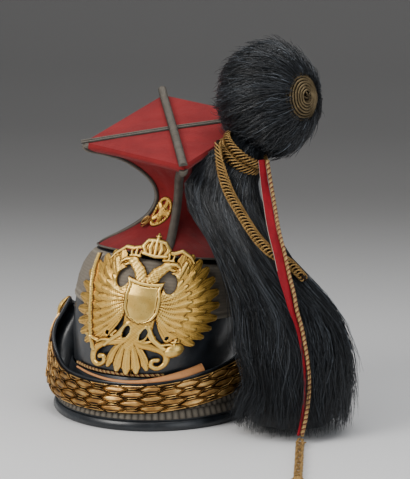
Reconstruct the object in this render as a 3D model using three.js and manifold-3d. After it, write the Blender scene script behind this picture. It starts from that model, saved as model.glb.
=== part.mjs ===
// Czapka: a lancer officer's square-topped cap with a horsehair plume.
// Millimetres, +Z up. The cap stands on its rim; its front faces -Y and the wearer's left is +X.
// Shapes are worked out about the skull's own axis; the whole group is then set so that the
// origin is the middle of the footprint, without the free cords.
import * as THREE from 'three';
import { mergeVertices } from 'three/addons/utils/BufferGeometryUtils.js';
import Module from 'manifold-3d';

const wasm = await Module();
wasm.setup();

const DEG = Math.PI / 180;
const GAP = 0.3;                      // clearance between touching pieces
const SKULL_AXIS = { x: -44.19, y: 18.03 };   // skull's axis in the part's frame

// ---- driving dimensions -------------------------------------------------------------------
const LEATHER = 2.2;                  // wall of skull and visor
const CLOTH = 2.0;                    // wall of the crown
const BAND = 1.3;                     // woven lace round the skull
const LEAN_SIDE = 5.5 * DEG;          // the top leans towards the wearer's left
const LEAN_FRONT = 6 * DEG;           // and rises towards the front
const LEAN_FOOT = 50;                 // height where the lean begins

// half-widths of the skull: side to side and fore and aft
const SKULL = [
  { z: 49, side: 82.5, fore: 102.5 },
  { z: 66, side: 83.0, fore: 103.5 },
  { z: 86, side: 84.5, fore: 103.5 },
  { z: 105, side: 85.0, fore: 102.0 },
  { z: 122, side: 83.0, fore: 97.5 },
  { z: 134, side: 79.5, fore: 91.5 },
  { z: 144, side: 74.0, fore: 83.5 },
  { z: 151, side: 67.5, fore: 75.5 },
  { z: 156, side: 54.0, fore: 60.0 },
  { z: 160, side: 32.0, fore: 35.0 },
];
const SKULL_STEPS = 24;               // points round the skull and its band
const SKULL_TOP = 162;
const BAND_LOW = 105;
const BAND_HIGH = 150;

// the eagle plate follows the skull, then stands up in front of the crown
const PLATE_GUIDE = [
  { z: 40, side: 84.5, fore: 105.5 },
  { z: 66, side: 85.5, fore: 106.0 },
  { z: 86, side: 87.0, fore: 106.0 },
  { z: 105, side: 87.5, fore: 104.5 },
  { z: 122, side: 85.5, fore: 100.0 },
  { z: 134, side: 82.0, fore: 94.0 },
  { z: 144, side: 77.0, fore: 87.0 },
  { z: 151, side: 73.0, fore: 82.5 },
  { z: 158, side: 69.0, fore: 79.0 },
  { z: 175, side: 60.0, fore: 72.0 },
];

// sections of the cloth crown, from its foot on the skull to the square plate
const CROWN = [
  { z: 152.7, x: 9.3, yaw: 8, pitch: -6, roll: 5.5, across: 68.5, along: 77.5, round: 2.0 },
  { z: 160.5, x: 10.5, yaw: 9, pitch: -5, roll: 5, across: 60, along: 66, round: 1.6 },
  { z: 169, x: 12, yaw: 10, pitch: -3, roll: 4, across: 48.5, along: 51, round: 1.28 },
  { z: 179.5, x: 14, yaw: 11, pitch: -1, roll: 2.5, across: 35.5, along: 36, round: 1.1 },
  { z: 191, x: 16.5, yaw: 12, pitch: 0, roll: 1, across: 25, along: 25, round: 1.0 },
  { z: 205, x: 18.5, yaw: 13, pitch: 2, roll: 0, across: 20, along: 20, round: 0.96 },
  { z: 219, x: 19, yaw: 14, pitch: 5, roll: -2, across: 22.5, along: 23, round: 0.92 },
  { z: 231, x: 18.5, yaw: 14.5, pitch: 8, roll: -4, across: 30, along: 30, round: 0.9 },
  { z: 242, x: 18, yaw: 15, pitch: 11, roll: -5.5, across: 41, along: 41, round: 0.89 },
  { z: 252, x: 17.3, yaw: 15.4, pitch: 13.5, roll: -7, across: 54, along: 54, round: 0.89 },
  { z: 259.5, x: 16.7, yaw: 15.4, pitch: 15, roll: -7.7, across: 70, along: 70, round: 0.9 },
  { z: 265, x: 16, yaw: 15.4, pitch: 15.9, roll: -8, across: 84, along: 84, round: 0.94 },
  { z: 270, x: 15.7, yaw: 15.4, pitch: 15.9, roll: -8, across: 89, along: 89, round: 0.98 },
  { z: 274, x: 15.6, yaw: 15.4, pitch: 15.9, roll: -8, across: 87.5, along: 87.5, round: 1.0 },
];
const CROWN_STEPS = 20;               // points round each section
const PLATE_RISE = 1.2;               // the plate's middle stands this much above its edge
const CORNER = { left: 180, front: 270, right: 0, back: 90 };
const LACE = { width: 8.5, thick: 1.9 };

const VISOR = [                       // run outwards below the skull's edge
  { z: 48.5, run: 2.0 },
  { z: 30, run: 9.0 },
  { z: 16, run: 14.5 },
  { z: 9.2, run: 17.5 },
];
const VISOR_END = 98;                 // degrees from the front to each end
const RIM_RUN = 18.5;
const BINDING = { high: 8.8, deep: 5.2 };
const VISOR_LACE = { low: 10.5, high: 27, thick: 0.9 };
const NECK_RUN = 9;

// the chin chain's line: angle from the front, distance out from the skull's edge, height
const CHAIN_LINE = [
  { angle: -96, out: 5, z: 98 },
  { angle: -94, out: 10.5, z: 88 },
  { angle: -91.5, out: 17.5, z: 75 },
  { angle: -87, out: 22, z: 60 },
  { angle: -78, out: 21.5, z: 42 },
  { angle: -63, out: 18.6, z: 32 },
  { angle: -42, out: 15.6, z: 29 },
  { angle: -18, out: 14, z: 28.5 },
  { angle: 6, out: 13.5, z: 29.5 },
  { angle: 28, out: 14, z: 33.5 },
  { angle: 48, out: 16, z: 39.5 },
  { angle: 66, out: 18, z: 47 },
  { angle: 80, out: 19, z: 57 },
  { angle: 88, out: 16, z: 70 },
  { angle: 92, out: 10.5, z: 83 },
];
const CHAIN = { wide: 27, thick: 2.2, link: 1.3, point: 6, lay: 21 };
const LINKS = 22;
const CHIN_BOSS = { r: 12, deep: 6 };
const BOSS_ON_CHAIN = { run: 10, lift: 3.8 };   // over the first scale
const BOSS_ON_SKULL = { angle: 93, z: 104.5, out: 2.3 };

// long fall of horsehair: centre, half-widths and sideways tilt of each section
const FALL = [
  { x: 103, y: -32, z: 275, wide: 13, deep: 13, tilt: 40 },
  { x: 92, y: -40, z: 261, wide: 17, deep: 16, tilt: 38 },
  { x: 79, y: -43, z: 245, wide: 28, deep: 18, tilt: 28 },
  { x: 69.5, y: -45, z: 226, wide: 34.5, deep: 20, tilt: 8 },
  { x: 75.5, y: -53, z: 204, wide: 35.5, deep: 23, tilt: 0 },
  { x: 90.5, y: -62, z: 180, wide: 32.5, deep: 29, tilt: 0 },
  { x: 104.5, y: -68, z: 160, wide: 34, deep: 33, tilt: 0 },
  { x: 118.5, y: -72, z: 140, wide: 39, deep: 37, tilt: 0 },
  { x: 133, y: -76, z: 120, wide: 45, deep: 41, tilt: 0 },
  { x: 140, y: -80, z: 98, wide: 49.5, deep: 45, tilt: 0 },
  { x: 144, y: -85, z: 70, wide: 53.5, deep: 50, tilt: 0 },
  { x: 143.5, y: -89, z: 38, wide: 54.5, deep: 53, tilt: 0 },
  { x: 143.5, y: -92, z: 3, wide: 54.5, deep: 54, tilt: 0 },
];
const LOCKS = 8;                     // locks round the fall and the ball
const LOCK_DEPTH = 0.07;              // share of the radius that a parting goes in

const BALL = { x: 112, y: -14, z: 307, r: 51, tall: 1.08 };
const BOSS = { r: 24, deep: 12, seat: 37, azimuth: 56, lift: 7 };

const PLAIT_R = 4.4;                  // plaited gold cord
const NECK_RING = { x: 92, y: -40, z: 261, r: 21.5, tilt: 38, pitch: 10, apart: 9.4 };
const HANG = [                        // the hanging plait, from the neck down over the hair
  [68.5, -60, 272], [69, -63.5, 262], [73, -67, 243], [81, -71.5, 223], [90.5, -77, 208.5],
  [101, -84, 194], [112, -90, 181], [122.3, -92.6, 172], [132.5, -91.3, 165.2],
  [141.8, -91, 159.3], [149.5, -91.5, 151.7], [156.5, -93, 144.5],
];
const RIBBON = [                      // the red ribbon's middle line and width
  { x: 110.8, y: -56.5, z: 244.5, wide: 7 }, { x: 112.3, y: -58, z: 234, wide: 8 },
  { x: 117.3, y: -68, z: 211.5, wide: 8.5 }, { x: 124, y: -87, z: 189, wide: 8.5 },
  { x: 130.2, y: -97.6, z: 171.5, wide: 8.5 }, { x: 136.3, y: -107.6, z: 150.5, wide: 8.5 },
  { x: 141.5, y: -114.5, z: 135.5, wide: 8 }, { x: 145.5, y: -119, z: 122, wide: 6 },
  { x: 151, y: -122.5, z: 108, wide: 4 }, { x: 156, y: -128.2, z: 90, wide: 3 },
  { x: 159.5, y: -133.6, z: 72, wide: 3 }, { x: 161, y: -137.6, z: 54, wide: 3 },
  { x: 160.3, y: -141.3, z: 36, wide: 2.6 }, { x: 157.5, y: -144.4, z: 17.6, wide: 2.6 },
  { x: 155.5, y: -146, z: 8, wide: 2.6 },
];
const RIBBON_THICK = 1.4;
const CAP_CORD_R = 2.1;
const CORD_PROUD = 1.5;               // the cap cord lies this much in front of the ribbon
const FLOOR_PLAIT = [                 // free end on the floor
  { x: 158.5, y: -156 }, { x: 159, y: -163 }, { x: 160, y: -172 }, { x: 160.5, y: -182 },
  { x: 161.5, y: -192 }, { x: 162.5, y: -203 }, { x: 163.5, y: -214 }, { x: 164.5, y: -226 },
  { x: 165.5, y: -238 }, { x: 166.5, y: -250 }, { x: 167.5, y: -262 }, { x: 168.5, y: -274 },
  { x: 169.5, y: -286 }, { x: 170.5, y: -297 },
];
const KNOT_R = 7;

const TONGUE = [                      // brown strap end; face 0 stands on edge, 90 lies flat
  { angle: -50, out: 5.8, z: 48.6, half: 1.6, face: 40 },
  { angle: -34, out: 6.5, z: 46.6, half: 2.0, face: 42 },
  { angle: -18, out: 7.1, z: 44.6, half: 2.5, face: 42 },
  { angle: -4, out: 7.5, z: 44.6, half: 3.6, face: 42 },
  { angle: 12, out: 7.2, z: 47.5, half: 4.6, face: 40 },
  { angle: 26, out: 6.8, z: 51, half: 4.8, face: 38 },
  { angle: 40, out: 6.2, z: 55.5, half: 4.8, face: 36 },
];
const VISOR_CORD = [                  // thin twisted cord along the joint of skull and visor
  { angle: -54, out: 3.0, z: 52 }, { angle: -42, out: 2.3, z: 51.2 }, { angle: -30, out: 2.3, z: 51 },
  { angle: -18, out: 2.3, z: 50.9 }, { angle: -6, out: 2.3, z: 50.7 }, { angle: 6, out: 2.3, z: 50.6 },
  { angle: 15, out: 2.3, z: 51 },
];
const VISOR_CORD_R = 1.5;
const ROSE_WIRE = 0.7;

const EAGLE = { angle: -3, z: 117, perRadian: 78, roll: 3.5, lift: 1, squeeze: 0.92, skew: 0.12 };

// ---- colours ------------------------------------------------------------------------------
const BLACK_LEATHER = { color: 0x17191c, roughness: 0.32, metalness: 0 };
const GILT = { color: 0xb88a3c, roughness: 0.38, metalness: 1 };
const OLD_GILT = { color: 0x8f6a2e, roughness: 0.42, metalness: 1 };
const RED_CLOTH = { color: 0x9c3230, roughness: 0.95, metalness: 0 };
const RIBBON_RED = { color: 0xa8141f, roughness: 0.7, metalness: 0 };
const TRESS = { color: 0x77736a, roughness: 0.6, metalness: 0.3 };
const WOVEN = { color: 0x6c645b, roughness: 0.8, metalness: 0.1 };
const HAIR = { color: 0x0d0f12, roughness: 0.45, metalness: 0 };
const BROWN_LEATHER = { color: 0xa9743f, roughness: 0.6, metalness: 0 };
const GOLD_CORD = { color: 0xa57a3a, roughness: 0.5, metalness: 0.6 };

const czapka = new THREE.Group();
czapka.position.set(SKULL_AXIS.x, SKULL_AXIS.y, 0);

// ---- building blocks ----------------------------------------------------------------------
function addMesh(name, geometry, finish, parent = czapka) {
  const mesh = new THREE.Mesh(geometry, new THREE.MeshStandardMaterial(finish));
  mesh.name = name;
  parent.add(mesh);
  return mesh;
}

// value of one column of a table at a height or place, read between its rows
function between(table, key, place, column) {
  const ordered = table[0][key] < table[table.length - 1][key] ? table : [...table].reverse();
  let i = 0;
  while (i < ordered.length - 2 && ordered[i + 1][key] < place) i += 1;
  const low = ordered[i];
  const high = ordered[i + 1];
  const share = (place - low[key]) / (high[key] - low[key]);
  return low[column] + (high[column] - low[column]) * share;
}

// turn a closed skin the right way out
function outward(geometry) {
  const place = geometry.attributes.position;
  const index = geometry.index.array;
  const [a, b, c] = [new THREE.Vector3(), new THREE.Vector3(), new THREE.Vector3()];
  let volume = 0;
  for (let i = 0; i < index.length; i += 3) {
    a.fromBufferAttribute(place, index[i]);
    b.fromBufferAttribute(place, index[i + 1]);
    c.fromBufferAttribute(place, index[i + 2]);
    volume += a.dot(b.cross(c));
  }
  if (volume < 0) {
    for (let i = 0; i < index.length; i += 3) {
      [index[i + 1], index[i + 2]] = [index[i + 2], index[i + 1]];
    }
  }
  return geometry;
}

// closed skin through rings of equal count; the two end rings are capped round a middle point,
// or joined to each other when the loft goes all the way round
function loft(rings, { round = false, startTip = null, endTip = null } = {}) {
  const count = rings[0].length;
  const points = rings.flat();
  const faces = [];
  const last = round ? rings.length : rings.length - 1;
  for (let i = 0; i < last; i += 1) {
    const here = i * count;
    const next = ((i + 1) % rings.length) * count;
    for (let j = 0; j < count; j += 1) {
      const k = (j + 1) % count;
      faces.push(here + j, here + k, next + k, here + j, next + k, next + j);
    }
  }
  const middle = (ring) => ring.reduce((sum, p) => sum.add(p), new THREE.Vector3())
    .divideScalar(ring.length);
  if (!round) {
    const foot = points.push(startTip ?? middle(rings[0])) - 1;
    const head = points.push(endTip ?? middle(rings[rings.length - 1])) - 1;
    const top = (rings.length - 1) * count;
    for (let j = 0; j < count; j += 1) {
      const k = (j + 1) % count;
      faces.push(foot, k, j, head, top + j, top + k);
    }
  }
  const geometry = new THREE.BufferGeometry().setFromPoints(points);
  geometry.setIndex(faces);
  return outward(geometry);
}

function toSolid(geometry) {
  const bare = geometry.clone();
  bare.deleteAttribute('normal');
  bare.deleteAttribute('uv');
  const merged = mergeVertices(bare, 1e-4);
  const solid = new wasm.Manifold(new wasm.Mesh({
    numProp: 3,
    vertProperties: new Float32Array(merged.attributes.position.array),
    triVerts: new Uint32Array(merged.index.array),
  }));
  return solid;
}

function fromSolid(solid) {
  const mesh = solid.getMesh();
  const geometry = new THREE.BufferGeometry();
  geometry.setAttribute('position', new THREE.BufferAttribute(mesh.vertProperties, 3));
  geometry.setIndex(new THREE.BufferAttribute(mesh.triVerts, 1));
  return geometry;
}

const joinAll = (geometries) => geometries.map(toSolid).reduce((sum, part) => sum.add(part));
const cutAway = (solid, geometries) => geometries.map(toSolid)
  .reduce((rest, part) => rest.subtract(part), solid);

// the largest body of a cut solid: slivers left by a cut are dropped
function mainBody(solid) {
  return solid.decompose().reduce((big, part) => (part.volume() > big.volume() ? part : big));
}

function tube(points, radius, sides, steps) {
  const path = new THREE.CatmullRomCurve3(points, false, 'centripetal');
  const corners = Array.from({ length: sides }, (_, i) => new THREE.Vector2(
    radius * Math.cos(i / sides * 2 * Math.PI), radius * Math.sin(i / sides * 2 * Math.PI)));
  return new THREE.ExtrudeGeometry(new THREE.Shape(corners), { steps, extrudePath: path });
}

// strip with a slightly crowned face: a section square to the path at each station
function strip(stations, thick) {
  const rings = stations.map(({ at, across, normal, half }) => {
    const corner = (side, rise) => at.clone().addScaledVector(across, side * half)
      .addScaledVector(normal, rise);
    return [corner(-1, 0), corner(1, 0), corner(0.8, thick), corner(-0.8, thick)];
  });
  return loft(rings);
}

const smooth = (value, low, high) => {
  const t = Math.min(1, Math.max(0, (value - low) / (high - low)));
  return t * t * (3 - 2 * t);
};

// ---- the skull's shape --------------------------------------------------------------------
// the upright dome turned about the fore-and-aft line and sheared upwards at the front
function leaned(x, y, z) {
  const turn = LEAN_SIDE * smooth(z, LEAN_FOOT, 115);
  const rise = -y * Math.tan(LEAN_FRONT) * smooth(z, 92, 150);
  const up = z - LEAN_FOOT;
  return new THREE.Vector3(
    x * Math.cos(turn) + up * Math.sin(turn), y,
    LEAN_FOOT + up * Math.cos(turn) - x * Math.sin(turn) + rise);
}

function aroundSkull(table, angle, z, out = 0) {
  const side = between(table, 'z', z, 'side') + out;
  const fore = between(table, 'z', z, 'fore') + out;
  return leaned(side * Math.sin(angle * DEG), -fore * Math.cos(angle * DEG), z);
}

const circle = (count) => Array.from({ length: count }, (_, i) => i / count * 360);
const skullRing = (z, out, count) => circle(count).map((a) => aroundSkull(SKULL, a, z, out));

function makeSkull() {
  const steps = SKULL_STEPS;
  const inside = SKULL.filter(({ z }) => z !== 66 && z !== 134)
    .map(({ z }) => skullRing(z, -LEATHER, steps)
      .map((p) => p.add(new THREE.Vector3(0, 0, z > 150 ? -LEATHER : 0)))).reverse();
  const outside = SKULL.map(({ z }) => skullRing(z, 0, steps));
  return loft([...inside, ...outside], {
    startTip: leaned(0, 0, SKULL_TOP - LEATHER - 0.6), endTip: leaned(0, 0, SKULL_TOP) });
}

function makeSkullBand() {
  const heights = SKULL.map(({ z }) => z).filter((z) => z >= BAND_LOW && z < BAND_HIGH);
  heights.push(BAND_HIGH);
  const rings = circle(SKULL_STEPS).map((angle) => [
    ...heights.map((z) => aroundSkull(SKULL, angle, z, GAP)),
    ...[...heights].reverse().map((z) => aroundSkull(SKULL, angle, z, GAP + BAND)),
  ]);
  return loft(rings, { round: true });
}

// solid that keeps other pieces clear of the skull and what lies on it
function skullKeepOut(out) {
  const rings = SKULL.map(({ z }) => skullRing(z, out, 24));
  return loft([skullRing(49, out, 24).map((p) => p.setZ(20)), ...rings], {
    endTip: leaned(0, 0, SKULL_TOP + 4) });
}

// ---- visor, binding and neck peak ---------------------------------------------------------
const SKIRT = { side: 82.5, fore: 102.5 };
function skirtPoint(angle, run, z) {
  return new THREE.Vector3((SKIRT.side + run) * Math.sin(angle * DEG),
    -(SKIRT.fore + run) * Math.cos(angle * DEG), z);
}
const sweep = (from, to, count) => Array.from({ length: count + 1 },
  (_, i) => from + (to - from) * i / count);

function makeVisor() {
  const rings = sweep(-VISOR_END, VISOR_END, 22).map((angle) => [
    ...VISOR.map(({ z, run }) => skirtPoint(angle, run, z)),
    ...[...VISOR].reverse().map(({ z, run }) => skirtPoint(angle, run - LEATHER, z)),
  ]);
  return loft(rings);
}

function makeVisorLace() {
  const heights = [VISOR_LACE.low, VISOR_LACE.high];
  const run = (z) => between(VISOR, 'z', z, 'run') + GAP;
  const rings = sweep(-VISOR_END + 2, VISOR_END - 2, 26).map((angle) => [
    ...heights.map((z) => skirtPoint(angle, run(z), z)),
    ...[...heights].reverse().map((z) => skirtPoint(angle, run(z) + VISOR_LACE.thick, z)),
  ]);
  return loft(rings);
}

function makeBinding() {
  const inner = RIM_RUN - BINDING.deep + 2.2;
  const section = [
    [inner, 0], [RIM_RUN + 1, 0], [RIM_RUN + 2, 2.2], [RIM_RUN + 1.2, 5.6],
    [RIM_RUN - 0.4, BINDING.high], [inner - 0.8, BINDING.high],
  ];
  const rings = sweep(-VISOR_END, VISOR_END, 28)
    .map((angle) => section.map(([run, z]) => skirtPoint(angle, run, z)));
  return loft(rings);
}

function makeNeckPeak() {
  const from = VISOR_END + 0.6;
  const rings = sweep(from, 360 - from, 14).map((angle) => {
    const side = Math.abs(Math.cos((angle - 180) * DEG));
    const run = NECK_RUN + (RIM_RUN - 1 - NECK_RUN) * (1 - side) ** 2;
    return [[2, 48.5], [2 + run * 0.35, 26], [run, 0], [run - 2.6, 0],
      [run * 0.35 - 0.5, 26], [-0.4, 48.5]].map(([out, z]) => skirtPoint(angle, out, z));
  });
  return loft(rings);
}

// ---- the cloth crown ----------------------------------------------------------------------
// section of a crown row: a rounded square whose sides are straight at roundness 1, an
// ellipse at 2 and hollow below 1, turned by yaw, pitch and roll about the crown's axis
function crownPoint(row, phi, out = 0, rise = 0) {
  const c = Math.abs(Math.cos(phi * DEG)) ** row.round;
  const s = Math.abs(Math.sin(phi * DEG)) ** row.round;
  const reach = (c + s) ** (-1 / row.round);
  const local = new THREE.Vector3((row.across + out) * reach * Math.cos(phi * DEG),
    (row.along + out) * reach * Math.sin(phi * DEG), rise);
  local.applyAxisAngle(new THREE.Vector3(0, 1, 0), row.roll * DEG);
  local.applyAxisAngle(new THREE.Vector3(1, 0, 0), row.pitch * DEG);
  local.applyAxisAngle(new THREE.Vector3(0, 0, 1), row.yaw * DEG);
  return local.add(new THREE.Vector3(row.x, 0, row.z));
}

// a row of the crown read between the table's rows
function crownRow(level) {
  const i = Math.min(CROWN.length - 2, Math.floor(level));
  const share = level - i;
  const row = {};
  for (const key of Object.keys(CROWN[0])) {
    row[key] = CROWN[i][key] + (CROWN[i + 1][key] - CROWN[i][key]) * share;
  }
  return row;
}

const TOP_ROW = CROWN[CROWN.length - 1];
const crownRing = (row, out, rise = 0) => circle(CROWN_STEPS)
  .map((phi) => crownPoint(row, phi, out, rise));

// the hollow has the outside's own rows, so its facets turn the same way and the wall stays whole
function makeCrown() {
  const inward = -CLOTH * Math.SQRT2;
  const outside = loft(CROWN.map((row) => crownRing(row, 0)),
    { endTip: crownPoint(TOP_ROW, 0, -TOP_ROW.across, PLATE_RISE) });
  const rings = CROWN.slice(0, -1).map((row) => crownRing(row, inward));
  rings[rings.length - 1] = crownRing(CROWN[CROWN.length - 2], inward * 2);
  const hollow = loft([crownRing(CROWN[0], inward, -CLOTH), ...rings],
    { endTip: crownPoint(TOP_ROW, 0, -TOP_ROW.across, -3.2) });
  return fromSolid(mainBody(cutAway(toSolid(outside), [hollow])));
}

function crownKeepOut(out) {
  const rings = CROWN.map((row, i) => crownRing(row, out, i === CROWN.length - 1 ? out : 0));
  return loft(rings, { endTip: crownPoint(TOP_ROW, 0, -TOP_ROW.across, out + 2) });
}

// tress up one corner, from the crown's foot to the plate's edge
function cornerLace(phi, grow = 0) {
  const stations = sweep(0.3, CROWN.length - 2, CROWN.length - 2).map((level) => {
    const row = crownRow(level);
    const at = crownPoint(row, phi, GAP + 0.4);
    const across = crownPoint(row, phi + 2, 0).sub(crownPoint(row, phi - 2, 0));
    const radial = crownPoint(row, phi, 5).sub(crownPoint(row, phi, 0)).normalize();
    across.addScaledVector(radial, -across.dot(radial)).normalize();
    const ahead = crownPoint(crownRow(Math.min(level + 0.4, CROWN.length - 1)), phi);
    const along = ahead.sub(crownPoint(crownRow(Math.max(level - 0.4, 0)), phi)).normalize();
    const normal = along.cross(across).normalize();
    if (normal.dot(radial) < 0) normal.negate();
    const foot = 0.75 + 0.25 * smooth(level, 0, 2);
    at.addScaledVector(normal, -grow);
    return { at, across, normal, half: (LACE.width / 2) * foot + grow };
  });
  return strip(stations, LACE.thick + 2 * grow);
}

// tress that crosses the plate from one corner to the other, laid at a height over the plate
function crossLace(phi, heights, half, thick, grow = 0) {
  const up = crownPoint(TOP_ROW, 0, 0, 1).sub(crownPoint(TOP_ROW, 0, 0, 0));
  const stations = heights.map(({ reach, rise }) => {
    const at = crownPoint(TOP_ROW, phi, -TOP_ROW.across, 0)
      .lerp(crownPoint(TOP_ROW, phi, 0, 0), reach).addScaledVector(up, rise - grow);
    const across = crownPoint(TOP_ROW, phi + 90, 0).sub(crownPoint(TOP_ROW, phi - 90, 0));
    return { at, across: across.normalize(), normal: up, half: half + grow };
  });
  return strip(stations, thick + 2 * grow);
}
const SIDE_CROSS = sweep(-1, 1, 8).map((reach) => ({
  reach: reach * 1.035, rise: 0.35 + PLATE_RISE * (1 - Math.abs(reach)) }));
const FRONT_CROSS = sweep(-1, 1, 10).map((reach) => ({
  reach: reach * 1.035 - (reach < -0.9 ? 0.03 : 0),
  rise: PLATE_RISE - 0.3 + 2.6 * (1 - reach * reach) + (reach < -0.9 ? 3 : 0) }));
const sideCross = (grow = 0) => crossLace(CORNER.right, SIDE_CROSS, 3.8, 1.6, grow);
const frontCross = (grow = 0) => crossLace(CORNER.front, FRONT_CROSS, 4.2, 4.2, grow);

// ---- raised work --------------------------------------------------------------------------
// a raised limb along a line on a curved ground: a flat foot and two sides up to a ridge
function limb(ground, line, halves, rise, foot = 0) {
  const rings = line.map(([s, t], i) => {
    const before = line[Math.max(0, i - 1)];
    const after = line[Math.min(line.length - 1, i + 1)];
    const length = Math.hypot(after[0] - before[0], after[1] - before[1]);
    const side = [-(after[1] - before[1]) / length, (after[0] - before[0]) / length];
    const half = halves[i];
    return [[-1, foot], [1, foot], [0, rise]]
      .map(([k, h]) => ground(s + side[0] * half * k, t + side[1] * half * k, h));
  });
  return loft(rings);
}

// a raised patch with an outline: foot, bevelled edge and a domed middle
function patch(ground, middle, outline, rise, dome, foot = 0) {
  const [s0, t0] = middle;
  const ring = (share, h) => outline.map(([s, t]) => ground(
    s0 + (s - s0) * share, t0 + (t - t0) * share, h));
  return loft([ring(1, foot), ring(0.9, rise)], {
    startTip: ground(s0, t0, foot), endTip: ground(s0, t0, rise + dome) });
}

const oval = (s, t, a, b, count, turn = 0) => circle(count).map((angle) => {
  const x = a * Math.cos(angle * DEG);
  const y = b * Math.sin(angle * DEG);
  return [s + x * Math.cos(turn * DEG) - y * Math.sin(turn * DEG),
    t + x * Math.sin(turn * DEG) + y * Math.cos(turn * DEG)];
});

// ---- the eagle plate ----------------------------------------------------------------------
function eagleGround(s, t, h) {
  const roll = EAGLE.roll * DEG;
  const up = (t + EAGLE.skew * s * smooth(Math.abs(s), 10, 40)) * EAGLE.squeeze;
  const aside = s * Math.cos(roll) + up * Math.sin(roll);
  const z = EAGLE.z + up * Math.cos(roll) - s * Math.sin(roll);
  return aroundSkull(PLATE_GUIDE, EAGLE.angle + aside / EAGLE.perRadian / DEG, z, EAGLE.lift + h);
}

const WING = { root: 31, feathers: 9, high: 84, low: -88, notch: 35, shoulder: 42, tip: 45.5,
  ridge: 20, thick: 1.3, slim: 0.78, level: -2 };

// a wing in one piece: a fan of feathers whose rounded tips stand apart, grooved between
function wingPatch(ground, side) {
  const span = WING.high - WING.low;
  const stations = [];
  for (let i = 0; i < WING.feathers * 4; i += 1) {
    const kind = ['notch', 'shoulder', 'tip', 'shoulder'][i % 4];
    stations.push({ angle: WING.high - (i + 0.5) / (WING.feathers * 4) * span, kind });
  }
  const raise = { notch: 0, shoulder: 0.6, tip: 1.1, root: 0.6 };
  const edge = stations.map(({ angle, kind }) => ({ angle, kind, r: WING[kind] }));
  for (const angle of sweep(WING.low - 40, WING.high + 40 - 360, 2)) {
    edge.push({ angle, kind: 'root', r: 14 });
  }
  const at = (angle, r, h) => ground(side * (WING.root + r * WING.slim * Math.cos(angle * DEG)),
    WING.level + r * Math.sin(angle * DEG), h);
  const ring = (reach, low, lift) => edge.map(({ angle, r, kind }) => at(
    angle, reach(r, kind), low + raise[kind] * lift));
  const inner = (r, kind) => (kind === 'root' ? r * 0.5 : WING.ridge);
  return loft([
    ring((r) => r * 0.5, 0.2, 0), ring((r) => r, 0, 0), ring((r) => r - 0.3, WING.thick, 0.5),
    ring(inner, 2.4, 1),
  ], { startTip: at(0, 0, 0.2), endTip: at(0, 0, 3.6) });
}

const mirrored = (line, side) => line.map(([s, t]) => [s * side, t]);

function eagleParts() {
  const g = eagleGround;
  const parts = [];
  for (const side of [-1, 1]) {
    parts.push(wingPatch(g, side));
    parts.push(patch(g, [side * 24, 0], oval(side * 24, 0, 13, 18, 8), 3.4, 0.8));
    parts.push(limb(g, mirrored([[3, 11], [8, 24], [16, 32]], side), [5, 4, 3.6], 3.6));
    parts.push(patch(g, [side * 17, 33], oval(side * 17, 33, 5.5, 4.6, 6), 4, 0.6));
    parts.push(limb(g, mirrored([[19, 34], [26, 32], [29, 27]], side), [3, 2.2, 0.8], 3));
    parts.push(limb(g, mirrored([[14, 38], [22, 38.5]], side), [2.6, 2.6], 3));
    parts.push(limb(g, mirrored([[18, 38.5], [19, 43.5]], side), [4, 5], 2.6));
    parts.push(limb(g, mirrored([[6, 45], [15, 39.5]], side), [2, 1.6], 2.4));
    parts.push(limb(g, mirrored([[9, -18], [18, -30], [32, -42]], side), [5, 3, 2.2], 3));
    parts.push(limb(g, mirrored([[3, -38], [12, -43], [22, -46], [28, -54], [21, -60]], side),
      [3.4, 3, 2.8, 2.6, 1.8], 2.8));
    for (const [end, reach] of [[15.5, -64], [8, -66]]) {
      parts.push(limb(g, mirrored([[2, -42], [end * 0.6, -53], [end, reach]], side),
        [2.4, 4, 2.6], 2.8));
    }
  }
  parts.push(limb(g, [[0, -12], [0, -26], [0, -38], [0, -46]], [12, 7, 5, 4], 3.4));
  parts.push(limb(g, [[0, -42], [0, -55], [1, -67]], [3, 4.6, 3], 3.2));
  const shield = [[-13.5, 15], [0, 13.5], [13.5, 15], [14.5, 3], [10.5, -10], [0, -16.5],
    [-10.5, -10], [-14.5, 3]];
  parts.push(patch(g, [0, 1], shield, 4.8, 0.9));
  parts.push(limb(g, [[0, 40], [2, 51], [3, 61]], [8, 12.5, 3.5], 4));
  parts.push(patch(g, [33, -45], oval(33, -45, 7.6, 7.6, 7), 4, 2));
  parts.push(limb(g, [[-33, -45], [-39, -30], [-50, 0], [-59, 22]],
    [2.4, 2.2, 2, 1.4], 4.4));
  parts.push(limb(g, [[-39, -46], [-28, -41]], [2.4, 2.4], 4));
  return parts;
}

// ---- rosettes and links -------------------------------------------------------------------
const ROSE = { phi: 225, level: 4.15, wide: 10.5, tall: 14.5 };
function roseGround(s, t, h) {
  const row = crownRow(ROSE.level + t / 12.5);
  const mid = crownPoint(row, ROSE.phi);
  const side = crownPoint(row, ROSE.phi + 20).sub(mid).normalize();
  const up = crownPoint(crownRow(ROSE.level + t / 12.5 + 0.3), ROSE.phi)
    .sub(crownPoint(crownRow(ROSE.level + t / 12.5 - 0.3), ROSE.phi)).normalize();
  const normal = up.clone().cross(side).normalize();
  if (normal.dot(new THREE.Vector3(-0.5, -0.85, 0.2)) < 0) normal.negate();
  return mid.addScaledVector(side, s).addScaledVector(normal, 0.55 + h);
}

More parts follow.
